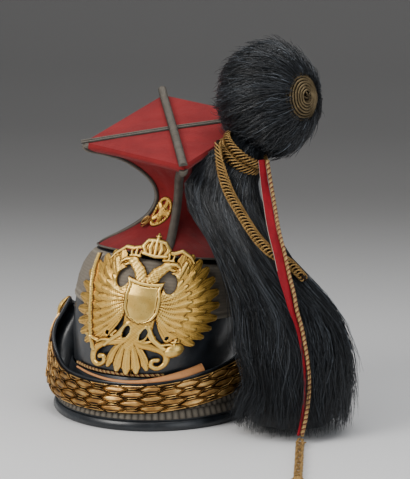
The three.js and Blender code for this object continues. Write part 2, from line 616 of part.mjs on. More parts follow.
function roseParts() {
  const rim = circle(10).map((angle) => [[1, 0], [0.7, 0], [0.84, 1.9]].map(([share, h]) => roseGround(
    ROSE.wide * share * Math.cos(angle * DEG), ROSE.tall * share * Math.sin(angle * DEG), h)));
  const parts = [loft(rim, { round: true })];
  for (const angle of circle(5)) {
    const reach = (share) => [ROSE.wide * share * Math.cos((angle + 90) * DEG),
      ROSE.tall * share * Math.sin((angle + 90) * DEG)];
    parts.push(limb(roseGround, [reach(0.1), reach(0.82)], [1.2, 2.6], 1.7));
  }
  parts.push(patch(roseGround, [0, 0], oval(0, 0, 4, 5, 6), 2, 0.8));
  return parts;
}

function bossAt(name, at, normal) {
  const boss = new THREE.LatheGeometry([
    [0, 0], [CHIN_BOSS.r, 0], [CHIN_BOSS.r, 2], [CHIN_BOSS.r * 0.72, 3],
    [CHIN_BOSS.r * 0.6, 5], [0, CHIN_BOSS.deep],
  ].map(([r, h]) => new THREE.Vector2(r, h)), 16);
  const mesh = addMesh(name, closed(boss), GILT);
  mesh.quaternion.setFromUnitVectors(new THREE.Vector3(0, 1, 0), normal);
  mesh.position.copy(at);
  return mesh;
}

function closed(geometry) {
  const bare = geometry.clone();
  bare.deleteAttribute('normal');
  bare.deleteAttribute('uv');
  return outward(mergeVertices(bare, 1e-4));
}

// frames along the chin chain: place, direction along, and normal away from the skull
const chainCurve = new THREE.CatmullRomCurve3(CHAIN_LINE.map(({ angle, out, z }) => (
  skirtPoint(angle, out, z))), false, 'centripetal');
function chainFrame(share) {
  const at = chainCurve.getPointAt(share);
  const along = chainCurve.getTangentAt(share);
  const normal = new THREE.Vector3(at.x / SKIRT.side ** 2, at.y / SKIRT.fore ** 2, 0).normalize();
  normal.z = Math.tan(CHAIN.lay * DEG) * (1 - smooth(at.z, 30, 88));
  normal.addScaledVector(along, -normal.dot(along)).normalize();
  const across = normal.clone().cross(along).normalize();
  return { at, along, normal, across };
}

function chainStrap(low, high, half, steps = 36) {
  const rings = sweep(0, 1, steps).map((share) => {
    const { at, normal, across } = chainFrame(share);
    const corner = (side, rise) => at.clone().addScaledVector(across, side * half)
      .addScaledVector(normal, rise);
    return [corner(-1, low), corner(1, low), corner(1, high), corner(-1, high)];
  });
  return loft(rings);
}

// place on the chain: along its line, across its width and out from its backing
function onChain(s, w, h) {
  const { at, normal, across } = chainFrame(s / chainCurve.getLength());
  return at.addScaledVector(across, w).addScaledVector(normal, h);
}

// pointed scale: its point nests in the notch of the next one, with a raised middle
function scaleLink(start, length) {
  const half = CHAIN.wide / 2;
  const p = CHAIN.point;
  const nose = length - 0.6;
  const edge = [[0, -half], [nose / 2, -half], [nose, -half], [nose + p, 0], [nose, half],
    [nose / 2, half], [0, half], [p, 0]];
  const middle = [(nose + p) / 2, 0];
  const ring = (h, share) => edge.map(([x, y]) => onChain(
    start + middle[0] + (x - middle[0]) * share, y * share, h));
  const low = 1;
  return loft([ring(low, 1), ring(low + CHAIN.link, 1)], {
    startTip: onChain(start + middle[0], 0, low),
    endTip: onChain(start + middle[0], 0, low + CHAIN.link + 1.2) });
}

// ---- the plume ----------------------------------------------------------------------------
// share of the radius at an angle round a bundle of locks: partings go in, locks stay full
const lockShape = (angle, turn = 0) => 1 - LOCK_DEPTH
  * (0.5 - 0.5 * Math.cos((angle * LOCKS + turn) * DEG)) ** 2;

function fallRing(row, grow = 0, steps = 20) {
  const tilt = row.tilt * DEG;
  return circle(steps).map((angle) => {
    const share = grow ? 1 : lockShape(angle, row.z * 1.1);
    const u = (row.wide + grow) * share * Math.cos(angle * DEG);
    const v = (row.deep + grow) * share * Math.sin(angle * DEG);
    return new THREE.Vector3(row.x + u * Math.cos(tilt), row.y + v, row.z - u * Math.sin(tilt));
  });
}

const BOSS_AXIS = new THREE.Vector3(Math.sin(BOSS.azimuth * DEG) * Math.cos(BOSS.lift * DEG),
  -Math.cos(BOSS.azimuth * DEG) * Math.cos(BOSS.lift * DEG), Math.sin(BOSS.lift * DEG));

// ball of hair with locks that run from the boss: a globe about the boss's axis
function makeBall(grow = 0) {
  const turn = new THREE.Quaternion().setFromUnitVectors(new THREE.Vector3(0, 0, 1), BOSS_AXIS);
  const latitudes = sweep(16, 164, 7);
  const rings = latitudes.map((lat) => circle(20).map((angle) => {
    const share = grow ? 1 : 1 - (1 - lockShape(angle, lat * 3)) * Math.sin(lat * DEG);
    const r = (BALL.r + grow) * share;
    const p = new THREE.Vector3(r * Math.sin(lat * DEG) * Math.cos(angle * DEG),
      r * Math.sin(lat * DEG) * Math.sin(angle * DEG), r * Math.cos(lat * DEG));
    p.applyQuaternion(turn);
    return p.setZ(p.z * BALL.tall).add(new THREE.Vector3(BALL.x, BALL.y, BALL.z));
  }));
  const dimple = BOSS_AXIS.clone().multiplyScalar(grow ? BALL.r + grow : BOSS.seat);
  const far = BOSS_AXIS.clone().multiplyScalar(-BALL.r - grow);
  const centre = new THREE.Vector3(BALL.x, BALL.y, BALL.z);
  return loft(rings, { startTip: dimple.add(centre), endTip: far.add(centre) });
}

function makeBoss() {
  const lathe = new THREE.LatheGeometry([
    [0, 0], [BOSS.r * 0.9, 0], [BOSS.r, 2.5], [BOSS.r * 0.86, 6], [BOSS.r * 0.55, 9.5],
    [BOSS.r * 0.24, 11.4], [0, BOSS.deep],
  ].map(([r, h]) => new THREE.Vector2(r, h)), 20);
  const mesh = addMesh('plume_boss', closed(lathe), OLD_GILT);
  mesh.quaternion.setFromUnitVectors(new THREE.Vector3(0, 1, 0), BOSS_AXIS);
  mesh.position.set(BALL.x, BALL.y, BALL.z).addScaledVector(BOSS_AXIS, BOSS.seat + GAP);
  mesh.updateMatrixWorld();
  return mesh;
}

function bossKeepOut() {
  const lathe = new THREE.LatheGeometry([[0, 0], [BOSS.r + 0.6, 0], [BOSS.r + 0.6, 30], [0, 30]]
    .map(([r, h]) => new THREE.Vector2(r, h)), 20);
  const turn = new THREE.Quaternion().setFromUnitVectors(new THREE.Vector3(0, 1, 0), BOSS_AXIS);
  const at = BOSS_AXIS.clone().multiplyScalar(BOSS.seat).add(
    new THREE.Vector3(BALL.x, BALL.y, BALL.z));
  return closed(lathe.applyQuaternion(turn).translate(at.x, at.y, at.z));
}

// ring of plaited cord round the plume's neck
function neckRing(shift, grow = 0, sides = 8) {
  const tilt = NECK_RING.tilt * DEG;
  const axis = new THREE.Vector3(-Math.sin(tilt), 0, -Math.cos(tilt));
  const steps = 16;
  const rings = circle(steps).map((angle) => circle(sides).map((around) => {
    const out = NECK_RING.r + (PLAIT_R + grow) * Math.cos(around * DEG);
    const bow = -NECK_RING.r * Math.sin(angle * DEG) * Math.sin(NECK_RING.pitch * DEG);
    const up = (PLAIT_R + grow) * Math.sin(around * DEG) + shift + bow;
    return new THREE.Vector3(
      NECK_RING.x + out * Math.cos(angle * DEG) * Math.cos(tilt),
      NECK_RING.y + out * Math.sin(angle * DEG) * 0.94,
      NECK_RING.z - out * Math.cos(angle * DEG) * Math.sin(tilt))
      .addScaledVector(axis, up);
  }));
  return loft(rings, { round: true });
}

const hangPath = HANG.map((place) => new THREE.Vector3(...place));
const ribbonPath = RIBBON.map(({ x, y, z }) => new THREE.Vector3(x, y, z));
const capCordPath = RIBBON.map(({ x, y, z, wide }) => (
  new THREE.Vector3(x + wide / 2 + CAP_CORD_R + GAP, y - CORD_PROUD, z)));
const cordFoot = capCordPath[capCordPath.length - 1];
const floorPath = [{ x: cordFoot.x + 1, y: cordFoot.y - CAP_CORD_R - GAP - 0.1 }, ...FLOOR_PLAIT]
  .map(({ x, y }) => new THREE.Vector3(x, y, PLAIT_R + 0.1));

// brown strap end on edge along the visor's root, turning to lie flat at its free end
function makeTongue() {
  const stations = TONGUE.map(({ angle, out, z, half, face }) => {
    const at = skirtPoint(angle, out, z);
    const along = skirtPoint(angle + 1, out, z).sub(skirtPoint(angle - 1, out, z)).normalize();
    const aside = new THREE.Vector3(0, 0, 1).cross(along).negate();
    const normal = aside.multiplyScalar(Math.cos(face * DEG))
      .addScaledVector(new THREE.Vector3(0, 0, 1), Math.sin(face * DEG));
    return { at, across: normal.clone().cross(along).normalize(), normal, half };
  });
  return strip(stations, 1.8);
}

const visorCordPath = VISOR_CORD.map(({ angle, out, z }) => skirtPoint(angle, out, z));

// wire loop that hangs at the rosette's lower end
function makeRoseLoop() {
  const wire = circle(12).map((angle) => circle(5).map((around) => {
    const r = 5.2 + ROSE_WIRE * Math.cos(around * DEG);
    return roseGround(-9.8 + 0.6 * r * Math.cos(angle * DEG), -12.6 + r * Math.sin(angle * DEG),
      1.9 + ROSE_WIRE * Math.sin(around * DEG) + 0.4);
  }));
  return loft(wire, { round: true });
}

function makeKnot() {
  const outline = [[0, -0.9], [0.62, -0.8], [1, -0.25], [1, 0.3], [0.6, 0.85], [0, 0.95]];
  const lathe = new THREE.LatheGeometry(outline.map(([r, h]) => (
    new THREE.Vector2(r * KNOT_R, h * KNOT_R))), 12);
  return closed(lathe.rotateX(Math.PI / 2));
}

// ---- assembly -----------------------------------------------------------------------------
addMesh('skull', makeSkull(), BLACK_LEATHER);
addMesh('skull_lace_band', makeSkullBand(), WOVEN);
addMesh('visor', makeVisor(), BLACK_LEATHER);
addMesh('visor_lace', makeVisorLace(), WOVEN);
addMesh('visor_binding', makeBinding(), BLACK_LEATHER);
addMesh('neck_peak', makeNeckPeak(), BLACK_LEATHER);
addMesh('crown', makeCrown(), RED_CLOTH);
for (const [corner, phi] of Object.entries(CORNER)) {
  addMesh(`lace_${corner}`, cornerLace(phi), TRESS);
}
addMesh('lace_cross_side', sideCross(), TRESS);
addMesh('lace_cross_front', frontCross(), TRESS);
addMesh('eagle_plate', fromSolid(joinAll(eagleParts())), GILT);
addMesh('side_rosette', fromSolid(joinAll(roseParts())), GILT);

const { run, lift } = BOSS_ON_CHAIN;
bossAt('chin_boss_right', onChain(run, 0, lift), chainFrame(run / chainCurve.getLength()).normal);
const seat = aroundSkull(SKULL, BOSS_ON_SKULL.angle, BOSS_ON_SKULL.z, BOSS_ON_SKULL.out);
bossAt('chin_boss_left', seat, aroundSkull(SKULL, BOSS_ON_SKULL.angle, BOSS_ON_SKULL.z, 9)
  .sub(seat).normalize());
addMesh('chin_strap_backing', chainStrap(-CHAIN.thick, 0, CHAIN.wide / 2 - 1), BLACK_LEATHER);
const pitch = (chainCurve.getLength() - CHAIN.point) / LINKS;
for (let i = 0; i < LINKS; i += 1) {
  addMesh(`chin_link_${String(i + 1).padStart(2, '0')}`, scaleLink(i * pitch, pitch), OLD_GILT);
}

const ballSolid = mainBody(cutAway(toSolid(makeBall()), [
  crownKeepOut(0.8), cornerLace(CORNER.right, 0.4), sideCross(0.4), bossKeepOut(),
  neckRing(0, 0.9, 6), neckRing(NECK_RING.apart, 0.9, 6)]));
addMesh('plume_ball', fromSolid(ballSolid), HAIR);
makeBoss();

const fallSolid = mainBody(cutAway(toSolid(loft(FALL.map((row) => fallRing(row)))), [
  makeBall(0.6), crownKeepOut(0.8), cornerLace(CORNER.right, 0.4), cornerLace(CORNER.front, 0.4),
  skullKeepOut(9.8), chainStrap(-4, 4, CHAIN.wide / 2 + 1, 24),
  neckRing(0, 0.9, 6), neckRing(NECK_RING.apart, 0.9, 6)]));
addMesh('plume_fall', fromSolid(fallSolid), HAIR);
addMesh('neck_plait_upper', neckRing(0), GOLD_CORD);
addMesh('neck_plait_lower', fromSolid(mainBody(cutAway(
  toSolid(neckRing(NECK_RING.apart)), [crownKeepOut(0.4)]))), GOLD_CORD);
addMesh('hanging_plait', tube(hangPath, PLAIT_R, 8, 18), GOLD_CORD);

const FACING = new THREE.Vector3(0.2, -1, 0);   // the ribbon's face
const ribbonStations = ribbonPath.map((at, i) => {
  const ahead = ribbonPath[Math.min(ribbonPath.length - 1, i + 1)];
  const along = ahead.clone().sub(ribbonPath[Math.max(0, i - 1)]).normalize();
  const normal = FACING.clone().addScaledVector(along, -FACING.dot(along)).normalize();
  return { at, across: normal.clone().cross(along).normalize(), normal, half: RIBBON[i].wide / 2 };
});
addMesh('cord_ribbon', strip(ribbonStations, RIBBON_THICK), RIBBON_RED);
addMesh('cap_cord', tube(capCordPath, CAP_CORD_R, 6, 28), GOLD_CORD);
addMesh('floor_plait', tube(floorPath, PLAIT_R, 8, 16), GOLD_CORD);
const knot = addMesh('end_knot', makeKnot(), GOLD_CORD);
const cordEnd = floorPath[floorPath.length - 1];
knot.position.set(cordEnd.x + 0.6, cordEnd.y - KNOT_R - GAP, KNOT_R);
addMesh('strap_tongue', makeTongue(), BROWN_LEATHER);
addMesh('visor_cord', tube(visorCordPath, VISOR_CORD_R, 6, 14), GOLD_CORD);
addMesh('rosette_loop', makeRoseLoop(), OLD_GILT);

export default czapka;
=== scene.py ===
"""Czapka: a lancer officer's square-topped cap with a horsehair plume.

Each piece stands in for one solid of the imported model, as a finer surface in the same place.
Shapes are worked out in millimetres about the skull's own axis. They go into the part's frame,
in metres, when their mesh is made. The front faces -Y and the wearer's left is +X.
"""

import math

import bpy
import numpy as np
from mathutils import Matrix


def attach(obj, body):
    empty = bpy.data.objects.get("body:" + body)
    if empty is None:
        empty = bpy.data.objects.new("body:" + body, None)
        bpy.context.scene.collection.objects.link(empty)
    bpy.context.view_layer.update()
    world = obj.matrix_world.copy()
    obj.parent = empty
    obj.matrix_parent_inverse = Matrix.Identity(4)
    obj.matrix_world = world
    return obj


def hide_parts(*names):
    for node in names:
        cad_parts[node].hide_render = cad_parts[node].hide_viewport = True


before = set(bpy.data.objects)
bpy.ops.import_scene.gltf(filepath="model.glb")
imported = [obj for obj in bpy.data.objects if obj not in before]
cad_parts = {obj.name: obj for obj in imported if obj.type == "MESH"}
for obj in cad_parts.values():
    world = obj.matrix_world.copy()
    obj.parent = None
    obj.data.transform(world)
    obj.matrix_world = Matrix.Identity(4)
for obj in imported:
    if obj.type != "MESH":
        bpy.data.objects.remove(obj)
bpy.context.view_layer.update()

bl_info = {
    "name": "Czapka",
    "version": (1, 0, 0),
    "blender": (4, 5, 0),
    "location": "View3D > Sidebar > Czapka",
    "description": "Builds a lancer's cap with its plate, chin scales, plume and cords",
    "category": "Add Mesh",
}

MM = 0.001
SKULL_AXIS = np.array([-44.19, 18.03, 0.0])
GAP = 0.3
LEATHER = 2.2
CLOTH = 2.0
BAND = 1.3
LEAN_SIDE = math.radians(5.5)
LEAN_FRONT = math.radians(6)
LEAN_FOOT = 50.0
TURN = 2 * math.pi


# ---- tables, with named columns, in millimetres and degrees ----
def table(names, *rows):
    """Columns by name, from rows of numbers."""
    return dict(zip(names.split(), np.array(rows, float).T))


SKULL = table(
    "z side fore",
    (49, 82.5, 102.5), (66, 83, 103.5), (86, 84.5, 103.5), (105, 85, 102),
    (122, 83, 97.5), (134, 79.5, 91.5), (144, 74, 83.5), (151, 67.5, 75.5),
    (156, 54, 60), (160, 32, 35),
)
SKULL_TOP = 162.0
BAND_LOW, BAND_HIGH = 105.0, 150.0
PLATE_GUIDE = table(
    "z side fore",
    (40, 84.5, 105.5), (66, 85.5, 106), (86, 87, 106), (105, 87.5, 104.5),
    (122, 85.5, 100), (134, 82, 94), (144, 77, 87), (151, 73, 82.5),
    (158, 69, 79), (175, 60, 72),
)
CROWN = table(
    "z x yaw pitch roll across along round",
    (152.7, 9.3, 8, -6, 5.5, 68.5, 77.5, 2.0),
    (160.5, 10.5, 9, -5, 5, 60, 66, 1.6),
    (169, 12, 10, -3, 4, 48.5, 51, 1.28),
    (179.5, 14, 11, -1, 2.5, 35.5, 36, 1.1),
    (191, 16.5, 12, 0, 1, 25, 25, 1.0),
    (205, 18.5, 13, 2, 0, 20, 20, 0.96),
    (219, 19, 14, 5, -2, 22.5, 23, 0.92),
    (231, 18.5, 14.5, 8, -4, 30, 30, 0.9),
    (242, 18, 15, 11, -5.5, 41, 41, 0.89),
    (252, 17.3, 15.4, 13.5, -7, 54, 54, 0.89),
    (259.5, 16.7, 15.4, 15, -7.7, 70, 70, 0.9),
    (265, 16, 15.4, 15.9, -8, 84, 84, 0.94),
    (270, 15.7, 15.4, 15.9, -8, 89, 89, 0.98),
    (274, 15.6, 15.4, 15.9, -8, 87.5, 87.5, 1.0),
)
CROWN_ROWS = len(CROWN["z"])
TOP_LEVEL = CROWN_ROWS - 1.0
TOP_HALF = CROWN["across"][-1]
PLATE_RISE = 1.2
CORNERS = {"left": 180, "front": 270, "right": 0, "back": 90}
VISOR = table("z run", (48.5, 2), (30, 9), (16, 14.5), (9.2, 17.5))
VISOR_END = 98.0
RIM_RUN = 18.5
BINDING_HIGH, BINDING_DEEP = 8.8, 5.2
VISOR_LACE_LOW, VISOR_LACE_HIGH = 10.5, 27.0
NECK_RUN = 9.0
SKIRT_SIDE, SKIRT_FORE, SKIRT_ARC = 82.5, 102.5, 112.0
CHAIN_LINE = table(
    "angle out z",
    (-96, 5, 98), (-94, 10.5, 88), (-91.5, 17.5, 75), (-87, 22, 60), (-78, 21.5, 42),
    (-63, 18.6, 32),
    (-42, 15.6, 29), (-18, 14, 28.5), (6, 13.5, 29.5), (28, 14, 33.5), (48, 16, 39.5),
    (66, 18, 47), (80, 19, 57), (88, 16, 70), (92, 10.5, 83),
)
CHAIN_WIDE, CHAIN_THICK, CHAIN_POINT, CHAIN_LAY = 27.0, 2.2, 6.0, 21.0
LOBES = 3
STRAP_PROUD = 2.6
SCALE_POINT = 12.5
# Black block under the strap, reaching towards the skull: partly its hidden inner side, partly painted
# shade.
STRAP_INNER_AND_SHADE, STRAP_INNER_AND_SHADE_RUN = 24.0, 112.0
LINKS = 22
BOSS_ON_CHAIN = {"run": 10.0, "lift": 3.8}
BOSS_ON_SKULL = {"angle": 93.0, "z": 104.5, "out": 2.3}
FALL = table(
    "x y z wide deep tilt",
    (103, -32, 275, 13, 13, 40), (92, -40, 261, 17, 16, 38), (79, -43, 245, 28, 18, 28),
    (69.5, -45, 226, 34.5, 20, 8), (75.5, -53, 204, 35.5, 23, 0), (90.5, -62, 180, 32.5, 29, 0),
    (104.5, -68, 160, 34, 33, 0), (118.5, -72, 140, 39, 37, 0), (133, -76, 120, 45, 41, 0),
    (140, -80, 98, 49.5, 45, 0), (144, -85, 70, 53.5, 50, 0), (143.5, -89, 38, 54.5, 53, 0),
    (143.5, -92, 3, 54.5, 54, 0),
)
CORE_END = 8.0
CHAIN_NOTCH = 0.27
BALL = np.array([112.0, -14.0, 307.0])
BALL_R, BALL_CORE_R, BALL_TALL = 51.0, 46.5, 1.08
BOSS_R, BOSS_SEAT, BOSS_AZIMUTH, BOSS_LIFT = 24.0, 37.0, 56.0, 7.0
PLAIT_R, CAP_CORD_R, VISOR_CORD_R = 4.4, 2.1, 1.5
# The plait's dark core is painted shade, seen in the gaps between its loops.
PLAIT_BROAD, PLAIT_SHADE_CORE = 1.24, 0.42
CORD_SIDES = 8
FLOOR_PITCH, FLOOR_STEPS = 66.0, 240
FLOOR_STRAND = {"aside": 2.9, "rise": 1.9, "radius": 1.35, "plies": 2, "pitch": 8.0}
RING = {"x": 92.0, "y": -40.0, "z": 261.0, "r": 21.5, "tilt": 38.0, "pitch": 10.0, "apart": 9.4}
HANG = table(
    "x y z",
    (68.5, -60, 272), (69, -63.5, 262), (73, -67, 243), (81, -71.5, 223), (90.5, -77, 208.5),
    (101, -84, 194), (112, -90, 181), (122.3, -92.6, 172), (132.5, -91.3, 165.2),
    (141.8, -91, 159.3), (149.5, -91.5, 151.7), (156.5, -93, 144.5),
)
RIBBON = table(
    "x y z wide",
    (109.6, -54.5, 253, 6.5), (110.8, -56.5, 244.5, 7), (112.3, -58, 234, 8), (117.3, -68, 211.5, 8.5),
    (124, -87, 189, 8.5), (130.2, -97.6, 171.5, 8.5), (136.3, -107.6, 150.5, 8.5),
    (141.5, -114.5, 135.5, 8), (145.5, -119, 122, 6), (151, -122.5, 108, 4),
    (156, -128.2, 90, 3), (159.5, -133.6, 72, 3), (161, -137.6, 54, 3),
    (160.3, -141.3, 36, 2.6), (157.5, -144.4, 17.6, 2.6), (155.5, -146, 8, 2.6),
)
CORD_PROUD = 1.5
RIBBON_THICK, RIBBON_FLAT = 1.4, 10.0
FACING = (0.2, -1.0, 0.0)
FLOOR_PLAIT = table(
    "x y",
    (158.5, -156), (159, -163), (160, -172), (160.5, -182), (161.5, -192), (162.5, -203),
    (163.5, -214), (164.5, -226), (165.5, -238), (166.5, -250), (167.5, -262),
    (168.5, -274), (169.5, -286), (170.5, -297),
)
KNOT_R = 7.0
TONGUE = table(
    "angle out z half face",
    (-50, 5.8, 48.6, 1.0, 40), (-34, 6.5, 46.6, 1.2, 42), (-18, 7.1, 44.6, 1.4, 42),
    (-4, 7.5, 44.6, 1.7, 42), (12, 7.2, 47.5, 2.6, 40), (26, 6.8, 51, 3.7, 38),
    (40, 6.2, 55.5, 4.0, 36),
)
VISOR_CORD = table(
    "angle out z",
    (-54, 3, 52), (-42, 2.3, 51.2), (-30, 2.3, 51), (-18, 2.3, 50.9), (-6, 2.3, 50.7),
    (6, 2.3, 50.6), (15, 2.3, 51),
)
TAIL_ASIDE = 4.5
EAGLE = {"angle": -3, "z": 117, "per": 78, "roll": 3.5, "lift": 1, "squeeze": 0.92, "skew": 0.12}
ROSE = {"phi": 225, "level": 4.15, "wide": 10.5, "tall": 14.5}


# ---- sums on whole arrays ----
def smooth(value, low, high):
    """Eased step: 0 below low, 1 above high, 3t^2 - 2t^3 between."""
    t = np.clip((value - low) / (high - low), 0, 1)
    return t * t * (3 - 2 * t)


def unit(vectors):
    """Each vector divided by its length."""
    return vectors / np.maximum(np.linalg.norm(vectors, axis=-1, keepdims=True), 1e-9)


def columns(*parts):
    """Arrays that stretch to one shape, side by side along a new last axis."""
    return np.stack(np.broadcast_arrays(*parts), -1)


def around(count, whole=TURN):
    """Even shares of a whole turn, from 0."""
    return np.arange(count) / count * whole


def run_of(points):
    """Length along a line of points, up to each of them."""
    return np.concatenate([[0], np.cumsum(np.linalg.norm(np.diff(points, axis=0), axis=1))])


def square_to(guide, along):
    """The guide less its share along a direction, at unit length."""
    return unit(guide - (guide * along).sum(-1, keepdims=True) * along)


def spokes(one, other, angle):
    """Directions in the plane of two others: one times cos(angle), plus other times sin(angle)."""
    return one[..., None, :] * np.cos(angle)[:, None] + other[..., None, :] * np.sin(angle)[:, None]


def frames_of(at, guide, s=None):
    """Frames on a line of points: along it, the guide made square to it, and across both."""
    s = run_of(at) if s is None else s
    along = unit(np.gradient(at, axis=0))
    normal = square_to(guide, along)
    return {"s": s, "at": at, "along": along, "normal": normal, "across": np.cross(normal, along),
            "length": s[-1]}


def bearing(azimuth, lift):
    """Direction that lies an azimuth from the front, towards +X, and a lift above the floor."""
    a, b = math.radians(azimuth), math.radians(lift)
    return np.array([math.sin(a) * math.cos(b), -math.cos(a) * math.cos(b), math.sin(b)])


def along_knots(place, knots, values):
    """Smooth curve through knots: cubic pieces whose slope at a knot is the mean of its chords."""
    order = np.argsort(knots)
    knots, values = np.asarray(knots, float)[order], np.asarray(values, float)[order]
    slope = np.gradient(values, knots, axis=0)
    i = np.clip(np.searchsorted(knots, place) - 1, 0, len(knots) - 2)
    span = knots[i + 1] - knots[i]
    t = (place - knots[i]) / span
    if values.ndim > 1:
        t, span = t[..., None], span[..., None]
    start = values[i] * (1 + 2 * t) * (1 - t) ** 2 + slope[i] * span * t * (1 - t) ** 2
    end = values[i + 1] * t * t * (3 - 2 * t) - slope[i + 1] * span * t * t * (1 - t)
    return start + end


def at_height(rows, z):
    """A table's other columns at heights z, in straight pieces between its rows."""
    order = np.argsort(rows["z"])
    return [np.interp(z, rows["z"][order], rows[name][order]) for name in rows if name != "z"]


def soft_noise(points, scale, seed):
    """Smooth waves of about unit size: a sum of sines in seeded directions."""
    rng = np.random.default_rng(seed)
    total = np.zeros(points.shape[:-1])
    for octave in range(6):
        way = unit(rng.normal(size=3)) * TURN / scale * (0.7 + 0.25 * octave)
        total += np.sin(points @ way + rng.uniform(0, TURN)) / (1 + 0.5 * octave)
    return total / 2.2


def leaned(x, y, z):
    """Upright dome turned about the fore-and-aft line and sheared upwards at the front."""
    turn = LEAN_SIDE * smooth(z, LEAN_FOOT, 115)
    rise = -y * math.tan(LEAN_FRONT) * smooth(z, 92, 150)
    up = z - LEAN_FOOT
    return columns(x * np.cos(turn) + up * np.sin(turn), y,
                   LEAN_FOOT + up * np.cos(turn) - x * np.sin(turn) + rise)


def around_skull(angle, z, out=0.0, guide=SKULL):
    """Ellipse of the guide's half-widths at height z, angle degrees from the front, leaned."""
    a = np.radians(angle)
    side, fore = at_height(guide, z)
    return leaned((side + out) * np.sin(a), -(fore + out) * np.cos(a), z)


def skirt_point(angle, run, z):
    """Ellipse of the skull's edge grown outwards by run, at height z."""
    a = np.radians(angle)
    return columns((SKIRT_SIDE + run) * np.sin(a), -(SKIRT_FORE + run) * np.cos(a), z)


def crown_point(level, phi, out=0.0, rise=0.0):
    """Rounded square of the crown's row at a level: reach = (|cos|^n + |sin|^n)^(-1/n)."""
    level, phi, out, rise = np.broadcast_arrays(level, phi, out, rise)
    knots = np.arange(CROWN_ROWS)
    row = {name: along_knots(level, knots, CROWN[name]) for name in CROWN}
    a = np.radians(phi)
    power = row["round"]
    reach = (np.abs(np.cos(a)) ** power + np.abs(np.sin(a)) ** power) ** (-1 / power)
    x = (row["across"] + out) * reach * np.cos(a)
    y = (row["along"] + out) * reach * np.sin(a)
    z = rise + 0 * x
    roll, pitch, yaw = (np.radians(row[name]) for name in ("roll", "pitch", "yaw"))
    x, z = x * np.cos(roll) + z * np.sin(roll), -x * np.sin(roll) + z * np.cos(roll)
    y, z = y * np.cos(pitch) - z * np.sin(pitch), y * np.sin(pitch) + z * np.cos(pitch)
    x, y = x * np.cos(yaw) - y * np.sin(yaw), x * np.sin(yaw) + y * np.cos(yaw)
    return columns(x + row["x"], y, z + row["z"])


def path_frames(points, guide, steps):
    """Even stations on a smooth curve; each normal is the guide made square to the curve."""
    points = np.asarray(points, float)
    chord = run_of(points)
    dense = along_knots(np.linspace(0, chord[-1], 1600), chord, points)
    run = run_of(dense)
    s = np.linspace(0, run[-1], steps + 1)
    at = columns(*(np.interp(s, run, dense[:, k]) for k in range(3)))
    guide = np.asarray(guide, float)
    if guide.ndim > 1:
        guide = along_knots(s * chord[-1] / run[-1], chord, guide)
    return frames_of(at, guide, s)


def at_frame(frames, s, across, out):
    """Point at a length s along a path, moved across it and out along its normal."""
    base, side, normal = (columns(*(np.interp(s, frames["s"], frames[name][:, k]) for k in range(3)))
                          for name in ("at", "across", "normal"))
    return base + side * np.asarray(across)[..., None] + normal * np.asarray(out)[..., None]


# ---- skins ----
class Skin:
    """Points, faces, pattern places and one value a point, gathered part by part."""

    def __init__(self):
        """Starts without a part."""
        self.points, self.faces, self.places, self.values = [], [], [], []
        self.count = 0

    def add(self, points, faces, places, values):
        """Adds one part: faces is a list of index arrays, and places holds a pair a corner."""
        self.points.append(points)
        self.values.append(values)
        self.faces += [block + self.count for block in faces]
        self.places += places
        self.count += len(points)
        return self

    def grid(self, points, u=None, v=None, value=0.5, ring=False):
        """Quads between neighbours of a rows x columns grid whose columns join round.

        A ring's rows join round as well, and the two ends of anything else are closed by fans.
        u and v are the pattern's places in millimetres along the rows and the columns. value is
        one number, one a row or one a point.
        """
        rows, cols = points.shape[:2]
        u = np.arange(rows + 1.0) if u is None else u
        v = np.arange(cols + 1.0) if v is None else v
        r, c = np.meshgrid(np.arange(rows - 1 + ring), np.arange(cols), indexing="ij")
        corners = [(r, c), (r, c + 1), (r + 1, c + 1), (r + 1, c)]
        quads = np.stack([(a % rows) * cols + b % cols for a, b in corners], -1).reshape(-1, 4)
        places = np.stack([columns(u[a], v[b]) for a, b in corners], -2).reshape(-1, 2)
        value = value[:, None] if np.ndim(value) == 1 else value
        value = np.broadcast_to(value, (rows, cols)).reshape(-1)
        flat, faces, spots = points.reshape(-1, 3), [quads], [places]
        if not ring:
            first, last, foot = np.arange(cols), (rows - 1) * cols, rows * cols
            nxt = (first + 1) % cols
            faces += [columns(foot, nxt, first), columns(foot + 1, last + first, last + nxt)]
            spots += [np.tile([u[row], v[0]], (3 * cols, 1)) for row in (0, rows - 1)]
            flat = np.concatenate([flat, points[[0, -1]].mean(1)])
            value = np.concatenate([value, value[[0, -1]]])
        if signed_volume(flat, faces) < 0:
            faces = [block[:, ::-1] for block in faces]
            spots = [p.reshape(len(f), -1, 2)[:, ::-1].reshape(-1, 2) for p, f in zip(spots, faces)]
        return self.add(flat, faces, spots, value)


def signed_volume(points, faces):
    """Sum of the pyramids from the middle to each face: below 0 where the faces point in."""
    middle = points.mean(0)
    total = 0.0
    for block in faces:
        for k in range(1, block.shape[1] - 1):
            a, b, c = (points[block[:, j]] - middle for j in (0, k, k + 1))
            total += np.einsum("ij,ij->", a, np.cross(b, c))
    return total


def add_object(name, data):
    """Object of the name in the scene, at the origin."""
    new = bpy.data.objects.new(name, data)
    bpy.context.scene.collection.objects.link(new)
    return new


